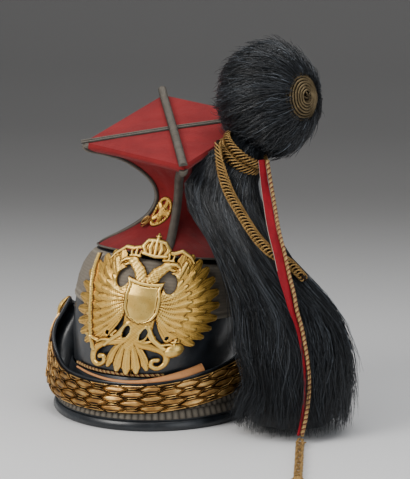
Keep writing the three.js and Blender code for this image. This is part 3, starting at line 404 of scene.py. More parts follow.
def put_piece(name, skin, finish, *nodes, sharp=None):
    """Makes the mesh of a skin in a finish, sets it on the root and hides the parts that it stands for.
    """
    mesh = bpy.data.meshes.new(name)
    points = (np.concatenate(skin.points) + SKULL_AXIS) * MM
    counts = np.concatenate([np.full(len(block), block.shape[1]) for block in skin.faces])
    corners = np.concatenate([block.ravel() for block in skin.faces])
    mesh.vertices.add(len(points))
    mesh.vertices.foreach_set("co", points.ravel())
    mesh.loops.add(len(corners))
    mesh.loops.foreach_set("vertex_index", corners.astype(np.int32))
    mesh.polygons.add(len(counts))
    starts = np.concatenate([[0], np.cumsum(counts)[:-1]])
    mesh.polygons.foreach_set("loop_start", starts.astype(np.int32))
    mesh.update(calc_edges=True)
    mesh.polygons.foreach_set("use_smooth", np.ones(len(counts), bool))
    layer = mesh.uv_layers.new(name="UVMap")
    layer.uv.foreach_set("vector", (np.concatenate(skin.places) * MM).ravel())
    relief = mesh.attributes.new("relief", "FLOAT", "POINT")
    relief.data.foreach_set("value", np.concatenate(skin.values).astype(np.float32))
    if sharp:
        mesh.set_sharp_from_angle(angle=math.radians(sharp))
    mesh.validate()
    slot, material = finish_of(finish)
    mesh.materials.append(material)
    piece = add_object(name, mesh)
    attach(piece, "root")
    if nodes:
        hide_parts(*nodes)
    return piece


def tube(skin, frames, radius, value):
    """Circle of the radius, with CORD_SIDES sides, carried along a path and closed at both ends."""
    ring = spokes(frames["across"], frames["normal"], around(CORD_SIDES))
    girth = np.arange(CORD_SIDES + 1) / CORD_SIDES * TURN * radius
    skin.grid(frames["at"][:, None] + ring * radius, frames["s"], girth, value)


def carried(frames, across, out):
    """Rows of points, one at each station of a path, moved across it and out along its normal."""
    return (frames["at"][:, None] + frames["across"][:, None] * across[..., None]
            + frames["normal"][:, None] * out[..., None])


def twisted(skin, frames, radius, plies, pitch, steps_mm=0.7):
    """Plies wound round a path: each is a tube on a helix of the given pitch."""
    steps = int(frames["length"] / steps_mm)
    s = np.linspace(0, frames["length"], steps + 1)
    ply = radius / (1 + 1 / math.sin(math.pi / plies)) if plies > 2 else radius / 2
    offset = radius - ply
    for k in range(plies):
        phase = s / pitch * TURN + k * TURN / plies
        line = at_frame(frames, s, offset * np.cos(phase), offset * np.sin(phase))
        steep = np.abs(unit(np.gradient(line, axis=0))[:, 2:]) < 0.9
        guide = np.where(steep, [[0.0, 0.0, 1.0]], [[0.0, 1.0, 0.0]])
        tube(skin, frames_of(line, guide, s), ply * 1.12, (k + 0.5) / plies)


# ---- shading ----
def sums(kind, turned=False):
    """Method that makes a Math node of a kind from a Value and what it meets, or the reverse."""
    def method(self, *others):
        """The node's output."""
        values = (self, *others)
        return self.shade.math(kind, *(values[::-1] if turned else values))
    return method


class Value:
    """A shader socket on which Python's sums make Math nodes."""

    def __init__(self, shade, socket):
        """Keeps the material that is being made and one output of its nodes."""
        self.shade, self.socket = shade, socket

    __add__ = __radd__ = sums("ADD")
    __sub__ = sums("SUBTRACT")
    __rsub__ = sums("SUBTRACT", True)
    __mul__ = __rmul__ = sums("MULTIPLY")
    __truediv__ = sums("DIVIDE")
    __rtruediv__ = sums("DIVIDE", True)
    sin = sums("SINE")
    abs = sums("ABSOLUTE")
    floor = sums("FLOOR")

    def wave(self, pitch):
        """0 to 1 and back once a pitch: half the sine, plus a half."""
        return (self * (TURN / pitch)).sin() * 0.5 + 0.5

    def step(self, low, high):
        """0 below low, 1 above high, eased between."""
        return self.shade.node("ShaderNodeMapRange", {"interpolation_type": "SMOOTHSTEP"},
                               {"Value": self, "From Min": low, "From Max": high})


class Shade:
    """One material: a Principled shader and the nodes that feed it."""

    def __init__(self, name):
        """Adds an empty material of the name."""
        self.look = bpy.context.scene.czapka_looks
        self.material = bpy.data.materials.new(name)
        self.material.use_nodes = True
        self.tree = self.material.node_tree
        self.tree.nodes.clear()
        self.bsdf = self.tree.nodes.new("ShaderNodeBsdfPrincipled")
        output = self.tree.nodes.new("ShaderNodeOutputMaterial")
        self.tree.links.new(self.bsdf.outputs[0], output.inputs[0])

    def feed(self, socket, value):
        """Links a Value to a socket, or sets the socket to a constant."""
        if isinstance(value, Value):
            self.tree.links.new(value.socket, socket)
        elif isinstance(value, tuple) and len(value) == 3 and socket.type == "RGBA":
            socket.default_value = (*value, 1.0)
        else:
            socket.default_value = value

    def node(self, kind, settings=None, sockets=None, out=0):
        """Adds a node with the given settings and socket values or links; one output comes back."""
        node = self.tree.nodes.new(kind)
        for name, value in (settings or {}).items():
            setattr(node, name, value)
        for name, value in (sockets or {}).items():
            self.feed(node.inputs[name], value)
        return Value(self, node.outputs[out])

    def math(self, kind, *values):
        """One sum on its values."""
        return self.node("ShaderNodeMath", {"operation": kind}, dict(enumerate(values)))

    def mix(self, low, high, factor):
        """Colour low where the factor is 0 and high where it is 1; a name is one of the looks."""
        low, high = (tuple(getattr(self.look, end)) if isinstance(end, str) else end
                     for end in (low, high))
        return self.node("ShaderNodeMix", {"data_type": "RGBA"}, {0: factor, 6: low, 7: high}, out=2)

    def place(self):
        """Object coordinates in metres."""
        return self.node("ShaderNodeTexCoord", out="Object")

    def split(self, vector):
        """The three numbers of a vector."""
        node = self.tree.nodes.new("ShaderNodeSeparateXYZ")
        self.feed(node.inputs[0], vector)
        return [Value(self, socket) for socket in node.outputs]

    def pattern(self):
        """The piece's own places, along and across, in millimetres."""
        u, v, _ = self.split(self.node("ShaderNodeTexCoord", out="UV"))
        return u * (1 / MM), v * (1 / MM)

    def relief(self):
        """The value that each point of the piece carries."""
        return self.node("ShaderNodeAttribute", {"attribute_name": "relief"}, out="Fac")

    def noise(self, size, detail=3.0, rough=0.55):
        """Noise of about 0 to 1 whose lumps are size millimetres wide."""
        return self.node("ShaderNodeTexNoise", None,
                         {"Vector": self.place(), "Scale": 1 / (size * MM), "Detail": detail,
                          "Roughness": rough})

    def cells(self, size):
        """Distance to the nearest seed of cells of size millimetres."""
        return self.node("ShaderNodeTexVoronoi", None,
                         {"Vector": self.place(), "Scale": 1 / (size * MM)})

    def finish(self, height=None, deep=0.3, **sockets):
        """Sets the shader's sockets by name; height is a bump of deep millimetres."""
        for name, value in sockets.items():
            self.feed(self.bsdf.inputs[name.replace("_", " ")], value)
        if height is not None:
            bump = self.node("ShaderNodeBump", None,
                             {"Height": height, "Distance": deep * MM, "Strength": 1.0})
            self.feed(self.bsdf.inputs["Normal"], bump)
        return self.material


def leather(shade):
    """Blackened leather under old varnish: fine grain, rubbed patches and faint scratches."""
    rub = shade.noise(22, 5).step(0.38, 0.72)
    fine = shade.noise(0.8, 2)
    scratch = shade.noise(3, 6, rough=0.75).step(0.62, 0.7)
    lining = shade.relief()
    worn = shade.mix("leather_colour", "leather_worn", rub * 0.7)
    colour = shade.mix("lining_colour", worn, lining)
    height = fine * 0.5 + shade.noise(5, 3) * 0.9 + shade.cells(1.6) * 0.35 - scratch * 0.3
    return shade.finish(height, 0.16, Base_Color=colour,
                        Roughness=0.26 + rub * 0.16 + fine * 0.1 + scratch * 0.1,
                        Coat_Weight=0.35 - rub * 0.2, Coat_Roughness=0.22, IOR=1.5)


def gilding(shade, part, rough):
    """Old gilt metal: bright on the high places, brown in the recesses, with dull spots."""
    bright, mid, dark = (f"{part}_{tone}" for tone in ("bright", "mid", "dark"))
    relief = shade.relief()
    cloud = shade.noise(9, 5)
    spots = shade.noise(1.3, 4).step(0.56, 0.74)
    height = relief + (cloud - 0.5) * 0.45
    low = shade.mix(dark, mid, height.step(0.22, 0.52))
    colour = shade.mix(low, bright, height.step(0.5, 0.86))
    colour = shade.mix(colour, dark, spots * 0.4)
    shine = rough + 0.18 * cloud + spots * 0.15 - relief.step(0.4, 1) * 0.08
    bump = shade.noise(0.7, 3) * 0.6 + shade.noise(3, 3) - spots * 0.4
    return shade.finish(bump, 0.09, Base_Color=colour, Roughness=shine, Metallic=0.8 - spots * 0.2)


def cloth(shade):
    """Faded felted wool: a fuzzy nap, worn pale places and soiled hollows."""
    fade = shade.noise(34, 4).step(0.3, 0.72)
    soil = shade.noise(11, 6, rough=0.7).step(0.55, 0.75)
    nap = shade.noise(0.45, 3, rough=0.7)
    fibre = shade.noise(1.4, 5, rough=0.75)
    colour = shade.mix("cloth_shade", "cloth_colour", fade * 0.7 + nap * 0.5)
    colour = shade.mix(colour, "cloth_soil", soil * 0.35)
    height = nap * 0.8 + fibre * 0.9 + shade.noise(9, 3) * 1.6
    return shade.finish(height, 0.3, Base_Color=colour, Roughness=0.95, Sheen_Weight=0.12,
                        Sheen_Roughness=0.4, Specular_IOR_Level=0.2)


def woven(shade):
    """Narrow woven lace: fine ribs across, a twill slant and two borders, dulled with age."""
    u, v = shade.pattern()
    ribs = (v * (TURN / 0.85)).sin().abs()
    beat = (u * (TURN / 1.7) + (v / 0.85).floor() * math.pi).sin() * 0.5 + 0.5
    relief = shade.relief()
    cloud = shade.noise(15, 5)
    tone = relief * 0.85 + ribs * 0.2 + beat * 0.1 - 0.15
    colour = shade.mix("lace_dark", "lace_colour", tone.step(0.0, 0.5))
    colour = shade.mix(colour, "lace_light", tone.step(0.4, 0.95) * (0.5 + cloud * 0.5))
    return shade.finish(ribs * 0.8 + beat * 0.6, 0.22, Base_Color=colour, Metallic=0.25,
                        Roughness=0.62 + cloud * 0.2)


def tress(shade):
    """Tarnished silver lace: slanting metal threads laid over ribs, dark in the grooves."""
    u, v = shade.pattern()
    relief = shade.relief()
    threads = (u + v * 0.8).wave(1.15)
    fine = (u - v * 0.5).wave(0.42)
    cloud = shade.noise(7, 5)
    tone = relief * 0.7 + threads * 0.3 + (cloud - 0.5) * 0.6
    colour = shade.mix("tress_dark", "tress_colour", tone.step(0.1, 0.75))
    colour = shade.mix(colour, "tress_light", tone.step(0.8, 1.1) * 0.6)
    return shade.finish(threads + fine * 0.4, 0.24, Base_Color=colour, Metallic=0.35,
                        Roughness=0.5 + cloud * 0.2)


def gold_thread(shade):
    """Gold wire wound on cord: close slanting turns, a painted shine where raised, and dark between,
    partly the cord beneath and partly painted shade.
    """
    u, v = shade.pattern()
    turns = (u * 1.3 + v).wave(0.9)
    cloud = shade.noise(6, 4)
    relief = shade.relief()
    tone = (turns * 0.45 + cloud * 0.5 + relief * 0.3) * relief.step(0.02, 0.2)
    # Low tone is dark between the turns, partly the cord beneath and partly painted shade; on the
    # plait's core it is painted shade. High tone is a painted shine.
    colour = shade.mix("thread_ground_and_shade", "thread_colour", tone.step(0.15, 0.7))
    colour = shade.mix(colour, "thread_light", tone.step(0.7, 1.05) * 0.7)
    return shade.finish(turns, 0.2, Base_Color=colour, Metallic=0.75, Roughness=0.36 + cloud * 0.2)


def cord_thread(shade):
    """Mixed silk and gold cord: the colour turns from gold to red along the plies, and darkens between
    the turns, partly the cord beneath and partly painted shade.
    """
    u, v = shade.pattern()
    relief = shade.relief()
    turns = (u * 1.2 + v).wave(0.8)
    colour = shade.mix("thread_light", "thread_colour", relief.step(0.3, 0.6))
    colour = shade.mix(colour, "ribbon_shade", relief.step(0.7, 0.8) * 0.9)
    # Darker between the turns: partly the cord beneath, partly painted shade.
    colour = shade.mix(colour, "thread_ground_and_shade", (1 - turns) * 0.6)
    return shade.finish(turns, 0.15, Base_Color=colour, Metallic=0.35, Roughness=0.5)


def silk(shade):
    """Corded silk ribbon: fine cross ribs, a sheen, and a pale thread along one edge."""
    u, v = shade.pattern()
    relief = shade.relief()
    ribs = u.wave(0.9)
    weave = v.wave(0.5)
    cloud = shade.noise(14, 4)
    colour = shade.mix("ribbon_shade", "ribbon_colour", ribs * 0.5 + cloud.step(0.3, 0.7) * 0.6)
    colour = shade.mix(colour, "tress_light", relief.step(0.8, 0.95))
    return shade.finish(ribs * 0.7 + weave * 0.3, 0.16, Base_Color=colour, Roughness=0.6,
                        Specular_IOR_Level=0.2)


def hair(shade):
    """Black horsehair: each strand a little lighter or browner than the next; the palest strands are
    partly random tone and partly painted highlight.
    """
    relief = shade.relief()
    colour = shade.mix("hair_colour", "hair_light", relief)
    return shade.finish(None, Base_Color=colour, Roughness=0.32 + relief * 0.12, Specular_IOR_Level=0.5)


def hide(shade):
    """Undyed strap leather: pale grain side with darkened edges and creases."""
    cloud = shade.noise(8, 5)
    crease = shade.noise(2.2, 5, rough=0.7).step(0.58, 0.7)
    relief = shade.relief()
    colour = shade.mix("hide_dark", "hide_colour", cloud.step(0.1, 0.45) * (0.5 + relief * 0.5))
    colour = shade.mix(colour, "hide_dark", crease * 0.25)
    return shade.finish(shade.noise(0.7, 3) - crease * 0.5, 0.15, Base_Color=colour,
                        Roughness=0.55 + cloud * 0.15)


# ---- settings ----
def swatch(label, text, value):
    """Colour property: red, green and blue, each from 0 to 1."""
    return bpy.props.FloatVectorProperty(name=label, description=text, default=value, subtype="COLOR",
                                         size=3, min=0, max=1)


def measure(label, text, value):
    """Length property, given in millimetres and kept in metres."""
    return bpy.props.FloatProperty(name=label, description=text, default=value * MM, min=0.05 * MM,
                                   precision=5, unit="LENGTH")


def tally(label, text, value):
    """Whole number property."""
    return bpy.props.IntProperty(name=label, description=text, default=value, min=10)


class Looks(bpy.types.PropertyGroup):
    """Colours of the cap's materials."""

    leather_colour: swatch("Leather", "Blackened leather", (0.008, 0.010, 0.013))
    leather_worn: swatch("Worn leather", "Leather where the varnish has dulled", (0.022, 0.027, 0.034))
    lining_colour: swatch("Lining", "Bare leather inside the skull", (0.075, 0.045, 0.028))
    gilt_bright: swatch("Gilt, high", "Gilding on the high places", (0.96, 0.67, 0.20))
    gilt_mid: swatch("Gilt", "Gilding on the flat places", (0.78, 0.455, 0.092))
    gilt_dark: swatch("Gilt, low", "Brown in the recesses", (0.13, 0.052, 0.010))
    scale_bright: swatch("Scales, high", "Brass on the scales' ridges", (0.86, 0.55, 0.19))
    scale_mid: swatch("Scales", "Brass on the scales' flats", (0.36, 0.18, 0.048))
    scale_dark: swatch("Scales, low", "Brown between the scales' ridges", (0.018, 0.008, 0.004))
    wire_bright: swatch("Wire, high", "Dark brass wire where it shines", (0.36, 0.27, 0.145))
    wire_mid: swatch("Wire", "Dark brass wire", (0.125, 0.09, 0.045))
    wire_dark: swatch("Wire, low", "Between the wires", (0.018, 0.012, 0.007))
    cloth_colour: swatch("Cloth", "Faded red cloth", (0.27, 0.020, 0.021))
    cloth_shade: swatch("Cloth, deep", "Cloth that has kept its colour", (0.165, 0.011, 0.013))
    cloth_soil: swatch("Cloth, soiled", "Soiled cloth", (0.075, 0.010, 0.010))
    lace_colour: swatch("Woven lace", "Lace round the skull and visor", (0.24, 0.205, 0.16))
    lace_light: swatch("Woven lace, pale", "Its worn threads", (0.44, 0.39, 0.31))
    lace_dark: swatch("Woven lace, dark", "Between its ribs", (0.045, 0.037, 0.029))
    tress_colour: swatch("Tress", "Tarnished silver lace on the crown", (0.18, 0.158, 0.13))
    tress_light: swatch("Tress, pale", "Its worn threads", (0.36, 0.33, 0.28))
    tress_dark: swatch("Tress, dark", "Between its threads", (0.028, 0.023, 0.018))
    thread_colour: swatch("Gold thread", "Gold wire of the cords", (0.5, 0.3, 0.1))
    thread_light: swatch("Gold thread, pale", "Where the wire shines", (0.84, 0.56, 0.22))
    # Dark between the turns, partly the cord beneath and partly painted shade; also the painted shade
    # of the plait's core.
    thread_ground_and_shade: swatch("Gold thread, dark", "Between the turns", (0.016, 0.008, 0.004))
    ribbon_colour: swatch("Ribbon", "Red silk", (0.32, 0.003, 0.013))
    ribbon_shade: swatch("Ribbon, deep", "Red silk in its ribs", (0.17, 0.002, 0.008))
    hair_colour: swatch("Hair", "Black horsehair", (0.002, 0.0024, 0.003))
    # The palest strands: partly random tone, partly painted highlight.
    hair_light: swatch("Hair, pale", "The palest strands", (0.21, 0.24, 0.28))
    hide_colour: swatch("Strap", "Undyed strap leather", (0.58, 0.25, 0.085))
    hide_dark: swatch("Strap, dark", "Its edges and creases", (0.15, 0.055, 0.02))
    floor_colour: swatch("Floor", "Pale studio floor", (0.86, 0.86, 0.86))
    # Also the painted shade that darkens the floor towards the back.
    backdrop_and_shade_colour: swatch("Backdrop", "Grey backdrop", (0.2, 0.197, 0.194))


class Sizes(bpy.types.PropertyGroup):
    """Sizes and counts that may be changed."""

    strand_radius: measure("Strand radius", "Radius of a drawn strand of hair", 0.27)
    braid_pitch: measure("Braid pitch", "Length of one of the plait's loops", 3.7)
    braid_wire: measure("Braid wire", "Radius of the wire of each loop", 0.68)
    relief_cell: measure("Relief cell", "Width of the cells of the cast relief", 0.6)
    fall_strands: tally("Fall strands", "Strands in each layer of the fall", 3500)
    ball_strands: tally("Ball strands", "Strands on the ball", 3600)


def setting(name):
    """One of the sizes, a length in millimetres."""
    value = getattr(bpy.context.scene.czapka_sizes, name)
    return value / MM if isinstance(value, float) else value


FINISHES = {
    "black leather": ("black_leather", leather),
    "gilt": ("gilt", gilding, "gilt", 0.28),
    "old gilt": ("old_gilt", gilding, "scale", 0.30),
    "dark brass": ("dark_brass", gilding, "wire", 0.34),
    "red cloth": ("red_cloth", cloth),
    "woven lace": ("woven_lace", woven),
    "tress lace": ("tress", tress),
    "gold thread": ("gold_cord", gold_thread),
    "mixed cord": ("gold_cord", cord_thread),
    "red ribbon": ("ribbon_red", silk),
    "horsehair": ("horsehair", hair),
    "brown leather": ("brown_leather", hide),
}
MADE = {}


def finish_of(name):
    """Slot and material of a finish; the material is made on its first use."""
    slot, maker, *given = FINISHES[name]
    if name not in MADE:
        MADE[name] = maker(Shade(name), *given)
    return slot, MADE[name]


# ---- hair and cords as bundles of thin tubes ----
def outside_skull(points, out):
    """Points inside the leaned dome grown by out are moved sideways to its surface."""
    x, y, z = points[..., 0], points[..., 1], points[..., 2]
    turn = LEAN_SIDE * smooth(z, LEAN_FOOT, 115)
    low = z + y * math.tan(LEAN_FRONT) * smooth(z, 92, 150) + x * np.sin(turn)
    mid_x = (low - LEAN_FOOT) * np.sin(turn)
    side, fore = at_height(SKULL, low)
    reach = np.hypot((x - mid_x) / (side + out), y / (fore + out))
    push = np.where((reach < 1) & (low < SKULL_TOP + 2), 1 / np.maximum(reach, 0.05), 1.0)
    return columns(mid_x + (x - mid_x) * push, y * push, z)


def crown_frames():
    """Middle, two side directions and upward direction of every row of the crown."""
    levels = np.arange(CROWN_ROWS)
    middle = columns(CROWN["x"], 0, CROWN["z"])
    side = unit(crown_point(levels, 0.0) - middle)
    fore = unit(crown_point(levels, 90.0) - middle)
    return middle, side, fore, np.cross(side, fore)


def outside_crown(points, out):
    """Points inside the crown's rounded squares, grown by out, are moved to their edge."""
    middle, side, fore, up = crown_frames()
    flat = points.reshape(-1, 3)
    height = np.einsum("nkj,kj->nk", flat[:, None] - middle[None], up)
    level = (height > 0).sum(1) - 1
    inside = (level >= 0) & (level < CROWN_ROWS - 1)
    k = np.clip(level, 0, CROWN_ROWS - 2)
    span = height[np.arange(len(flat)), k] - height[np.arange(len(flat)), k + 1]
    share = np.clip(height[np.arange(len(flat)), k] / np.maximum(span, 1e-6), 0, 1)[:, None]
    centre = middle[k] * (1 - share) + middle[k + 1] * share
    a = unit(side[k] * (1 - share) + side[k + 1] * share)
    b = unit(fore[k] * (1 - share) + fore[k + 1] * share)
    wide, deep, power = (CROWN[n][k] * (1 - share[:, 0]) + CROWN[n][k + 1] * share[:, 0]
                         for n in ("across", "along", "round"))
    offset = flat - centre
    u, v = (offset * a).sum(-1), (offset * b).sum(-1)
    reach = ((np.abs(u) / (wide + out)) ** power + (np.abs(v) / (deep + out)) ** power) ** (1 / power)
    push = np.where(inside & (reach < 1), 1 / np.maximum(reach, 0.08) - 1, 0.0)
    push = np.minimum(push * np.hypot(u, v), 26)
    way = unit(u[:, None] * a + v[:, None] * b)
    return (flat + way * push[:, None]).reshape(points.shape)


def strands(skin, lines, radius, values):
    """Three-sided tapering tubes on many lines of equal count, each closed at both ends.

    lines is (strands, stations, 3). A strand's section is a triangle square to its line.
    """
    count, stations = lines.shape[:2]
    tangent = unit(np.gradient(lines, axis=1))
    normal = square_to(np.array([0.31, -0.86, 0.41]), tangent)
    t = np.linspace(0, 1, stations)
    taper = (0.75 + 0.6 * np.sin(np.pi * t * 0.75)) * (1 - 0.75 * t ** 3)
    size = np.asarray(radius)[..., None] * taper
    ring = spokes(np.cross(normal, tangent), normal, around(3))
    points = lines[:, :, None] + ring * size[..., None, None]
    index = np.arange(count * stations * 3).reshape(count, stations, 3)
    low, high = index[:, :-1], index[:, 1:]
    pairs = ((0, 1), (1, 2), (2, 0))
    sides = [columns(low[..., j], low[..., k], high[..., k], high[..., j]) for j, k in pairs]
    quads = np.concatenate(sides).reshape(-1, 4)
    ends = np.concatenate([index[:, 0, ::-1], index[:, -1]])
    places = [np.zeros((quads.size, 2)), np.zeros((ends.size, 2))]
    value = np.broadcast_to(np.asarray(values)[:, None, None], (count, stations, 3)).reshape(-1)
    skin.add(points.reshape(-1, 3), [quads, ends], places, value)


def curb(skin, frames, wide, wire, pitch, ring=False, slant=50.0):
    """Curb plait: slanting oval loops of wire, each laid over the last, along a dark core that is
    painted shade in the gaps between the loops.

    Loop k sits at k pitches along. It runs as (c cos a - e sin a, c sin a + e cos a) with its
    long side c turned by the slant; one long side is lifted and both ends bend down.
    """
    count = max(int(round(frames["length"] / pitch)), 4)
    angle = around(20)
    slant = math.radians(slant)
    long, short = wide / abs(math.sin(slant)) * 0.94, wide * 0.4
    u = long * np.cos(angle) * math.cos(slant) - short * np.sin(angle) * math.sin(slant)
    v = long * np.cos(angle) * math.sin(slant) + short * np.sin(angle) * math.cos(slant)
    lift = 1.5 + 0.36 * wide * np.sin(angle) - 1.7 * (v / wide) ** 2
    margin = 0.0 if ring else u.max()
    place = margin + (np.arange(count) + 0.5) / count * (frames["length"] - 2 * margin)
    rng = np.random.default_rng(count)
    for k in range(count):
        s = place[k] + u
        s = s % frames["length"] if ring else np.clip(s, 0, frames["length"])
        ring_tube(skin, at_frame(frames, s, v, lift), wire, 6, rng.uniform(0.35, 0.9))


# ---- cords and ribbon ----
def points_of(rows):
    """The x, y and z columns of a table as points."""
    return columns(rows["x"], rows["y"], rows["z"])


def ribbon_lines():
    """Middle line of the ribbon, and of the cord along its right edge."""
    ribbon = points_of(RIBBON)
    aside = RIBBON["wide"] / 2 + CAP_CORD_R + GAP
    return ribbon, ribbon + columns(aside, -CORD_PROUD, 0)


def fall_guides(points):
    """Outward directions of the fall along a line of points."""
    level = np.minimum(points[:, 2], 269)
    middle = columns(*at_height(FALL, level)[:2], points[:, 2])
    return unit(points - middle)


def floor_line():
    """Floor plait's middle line: from the cap cord's foot to the knot."""
    foot = ribbon_lines()[1][-1]
    start = [[foot[0] + 1, foot[1] - CAP_CORD_R - GAP - 0.1, PLAIT_R + 0.1]]
    return np.concatenate([start, columns(FLOOR_PLAIT["x"], FLOOR_PLAIT["y"], PLAIT_R + 0.1)])


def turned_over(frames):
    """The same path seen from behind: its normals and its sides swap over."""
    return {**frames, "normal": -frames["normal"], "across": -frames["across"]}


def make_cords():
    """The free cords: hanging plait, cap cord, floor plait and the knot at its end."""
    wire, pitch = setting("braid_wire"), setting("braid_pitch")
    points = points_of(HANG)
    frames = path_frames(points, fall_guides(points), 200)
    skin = Skin()
    # Dark core: painted shade in the gaps between the loops.
    tube(skin, frames, PLAIT_R * PLAIT_SHADE_CORE, 0.0)
    for way in (frames, turned_over(frames)):
        curb(skin, way, PLAIT_R * PLAIT_BROAD - wire, wire, pitch)
    piece = put_piece("hanging_plait_braid", skin, "gold thread", "hanging_plait")

    cord = ribbon_lines()[1]
    frames = path_frames(cord, fall_guides(cord), 300)
    skin = Skin()
    twisted(skin, frames, CAP_CORD_R * 0.92, 3, 4.6)
    piece = put_piece("cap_cord_twist", skin, "mixed cord", "cap_cord")

    line = floor_line()
    frames = path_frames(line, [0, 0, 1], 200)
    skin = Skin()
    s = np.linspace(0, frames["length"], FLOOR_STEPS)
    for k in range(3):
        phase = s / FLOOR_PITCH * TURN + k * TURN / 3
        strand = at_frame(frames, s, FLOOR_STRAND["aside"] * np.sin(phase),
                          FLOOR_STRAND["rise"] * np.sin(2 * phase))
        twisted(skin, path_frames(strand, [0, 0, 1], FLOOR_STEPS), FLOOR_STRAND["radius"],
                FLOOR_STRAND["plies"], FLOOR_STRAND["pitch"])
    knot = Skin()
    end = line[-1] + np.array([0.6, -KNOT_R - GAP, KNOT_R - line[-1][2]])
    wound_knot(knot, end, KNOT_R)
    knot_piece = put_piece("end_knot_wound", knot, "gold thread", "end_knot")
    piece = put_piece("floor_plait_braid", skin, "gold thread", "floor_plait")


def wound_knot(skin, centre, radius):
    """Ball of wound cord: three crossed bands of parallel hoops round one middle."""
    wire = 1.25
    angle = np.linspace(0, TURN, 41)[:-1]
    for axis in range(3):
        for lane in (-1, 0, 1):
            offset = lane * wire * 1.9
            reach = math.sqrt((radius - wire) ** 2 - offset ** 2) * (1 - 0.05 * axis)
            hoop = columns(reach * np.cos(angle), reach * np.sin(angle), offset)
            ring_tube(skin, np.roll(hoop, axis, 1) + centre, wire, 7, 0.5)
    globe(skin, centre, radius * 0.72, 0.1)


def ring_tube(skin, line, radius, sides, value):
    """Closed tube round a closed line."""
    tangent = unit(np.roll(line, -1, 0) - np.roll(line, 1, 0))
    spoke = square_to(unit(line - line.mean(0)), tangent)
    points = line[:, None] + radius * spokes(spoke, np.cross(tangent, spoke), around(sides))
    step = np.linalg.norm(line[1] - line[0])
    skin.grid(points, np.arange(len(line) + 1) * step, np.arange(sides + 1) / sides * TURN * radius,
              value, True)


def globe(skin, centre, radius, value):
    """Ball with rows of latitude and columns of longitude."""
    lat = np.radians(np.linspace(-84, 84, 15))[:, None]
    lon = around(20)[None]
    points = columns(np.cos(lat) * np.cos(lon), np.cos(lat) * np.sin(lon), np.sin(lat)) * radius
    skin.grid(points + centre, value=value)


def make_ribbon():
    """Red silk ribbon over the fall, with a soft wave and a pale thread at its left edge."""
    ribbon = ribbon_lines()[0]
    frames = path_frames(ribbon, FACING, 260)
    half = np.interp(frames["s"], np.linspace(0, frames["length"], len(ribbon)), RIBBON["wide"]) / 2
    across = np.linspace(-1, 1, 25)
    wave = 0.35 * np.sin(frames["s"][:, None] / 11 + across[None] * 2.2) * (1 - across ** 2)
    arch = 0.9 * (1 - across[None] ** 2) + wave
    upper = carried(frames, across * half[:, None], RIBBON_THICK * 0.55 + arch)
    lower = carried(frames, across[::-1] * half[:, None], 0.15 + arch[:, ::-1] * 0.6)
    pale = (frames["s"] < frames["length"] * 0.42)[:, None]
    value = np.where((across < -0.86)[None] & pale, 1.0, 0.3)
    value = np.concatenate([value, np.full((261, 25), 0.3)], 1)
    girth = np.concatenate([across, across[::-1], [-1]]) * 6
    skin = Skin()
    skin.grid(np.concatenate([upper, lower], 1), frames["s"], girth, value)
    piece = put_piece("cord_ribbon_silk", skin, "red ribbon", "cord_ribbon", sharp=60)


# ---- skull, band, visor and neck peak ----
def make_skull():
    """Leather dome with its wall, its rolled mouth and a bare lining inside."""
    angle = around(160, 360)
    heights = np.concatenate([np.linspace(49, 150, 56), np.linspace(151.5, 160, 9)])
    outer = around_skull(angle[None], heights[:, None])
    lip = around_skull(angle[None], np.array([[48.6]]), np.array([[-LEATHER / 2]]))
    inner = around_skull(angle[None], heights[::-2, None], -LEATHER)
    inner[..., 2] -= (LEATHER * smooth(heights[::-2], 140, 156))[:, None]
    value = np.concatenate([np.zeros(len(inner)), [1], np.ones(len(outer))])
    rows = np.concatenate([inner, lip, outer])
    put_piece("skull_leather", Skin().grid(rows, np.arange(len(rows)) * 2.0, np.arange(161) * 3.6,
                                           value), "black leather", "skull")


def make_band():
    """Broad woven lace round the skull, with two raised lines near its lower edge."""
    angle = around(256, 360)
    heights = np.linspace(BAND_LOW, BAND_HIGH, 70)
    lines = sum(np.exp(-((heights - z) / 0.8) ** 2) for z in (107, 111.5, 147.5))
    edge = smooth(heights, BAND_LOW, BAND_LOW + 0.8) * (1 - smooth(heights, BAND_HIGH - 0.8, BAND_HIGH))
    out = GAP + BAND * (0.35 + 0.65 * edge) + 0.45 * lines
    outer = around_skull(angle[None], heights[:, None], out[:, None])
    inner = around_skull(angle[None], heights[::-4, None], GAP)
    rows = np.concatenate([outer, inner])
    u = np.append(np.concatenate([heights, heights[::-4]]), BAND_LOW)
    fine = 0.07 * np.cos((heights - BAND_LOW) / 2.6 * TURN)
    value = np.concatenate([0.48 + fine + 0.4 * lines, np.full(len(inner), 0.4)])
    skin = Skin()
    skin.grid(rows, u, np.arange(257) * 2.2, value, True)
    skin.places = [pair[:, ::-1] for pair in skin.places]
    put_piece("skull_lace_woven", skin, "woven lace", "skull_lace_band")


def rounded(section, times):
    """Closed outline with each corner cut at a quarter of its sides, several times over."""
    section = np.array(section, float)
    for _ in range(times):
        nxt = np.roll(section, -1, 0)
        section = np.stack([section * 0.75 + nxt * 0.25, section * 0.25 + nxt * 0.75], 1).reshape(-1, 2)
    return section


def skirt_sweep(skin, section, angles, value=0.5):
    """Section of (run, height) pairs carried round the skull's edge, closed at both ends."""
    section = np.asarray(section)
    if section.ndim == 2:
        section = np.broadcast_to(section[None], (len(angles), *section.shape))
    points = skirt_point(angles[:, None], section[..., 0], section[..., 1])
    girth = run_of(section[len(section) // 2])
    girth = np.append(girth, girth[-1] + 1)
    skin.grid(points, np.radians(angles) * SKIRT_ARC, girth, value)


def swept_piece(name, finish, node, section, angles, value=1.0, sharp=None):
    """Piece that is one section carried round the skull's edge."""
    skin = Skin()
    skirt_sweep(skin, section, angles, value)
    put_piece(name, skin, finish, node, sharp=sharp)


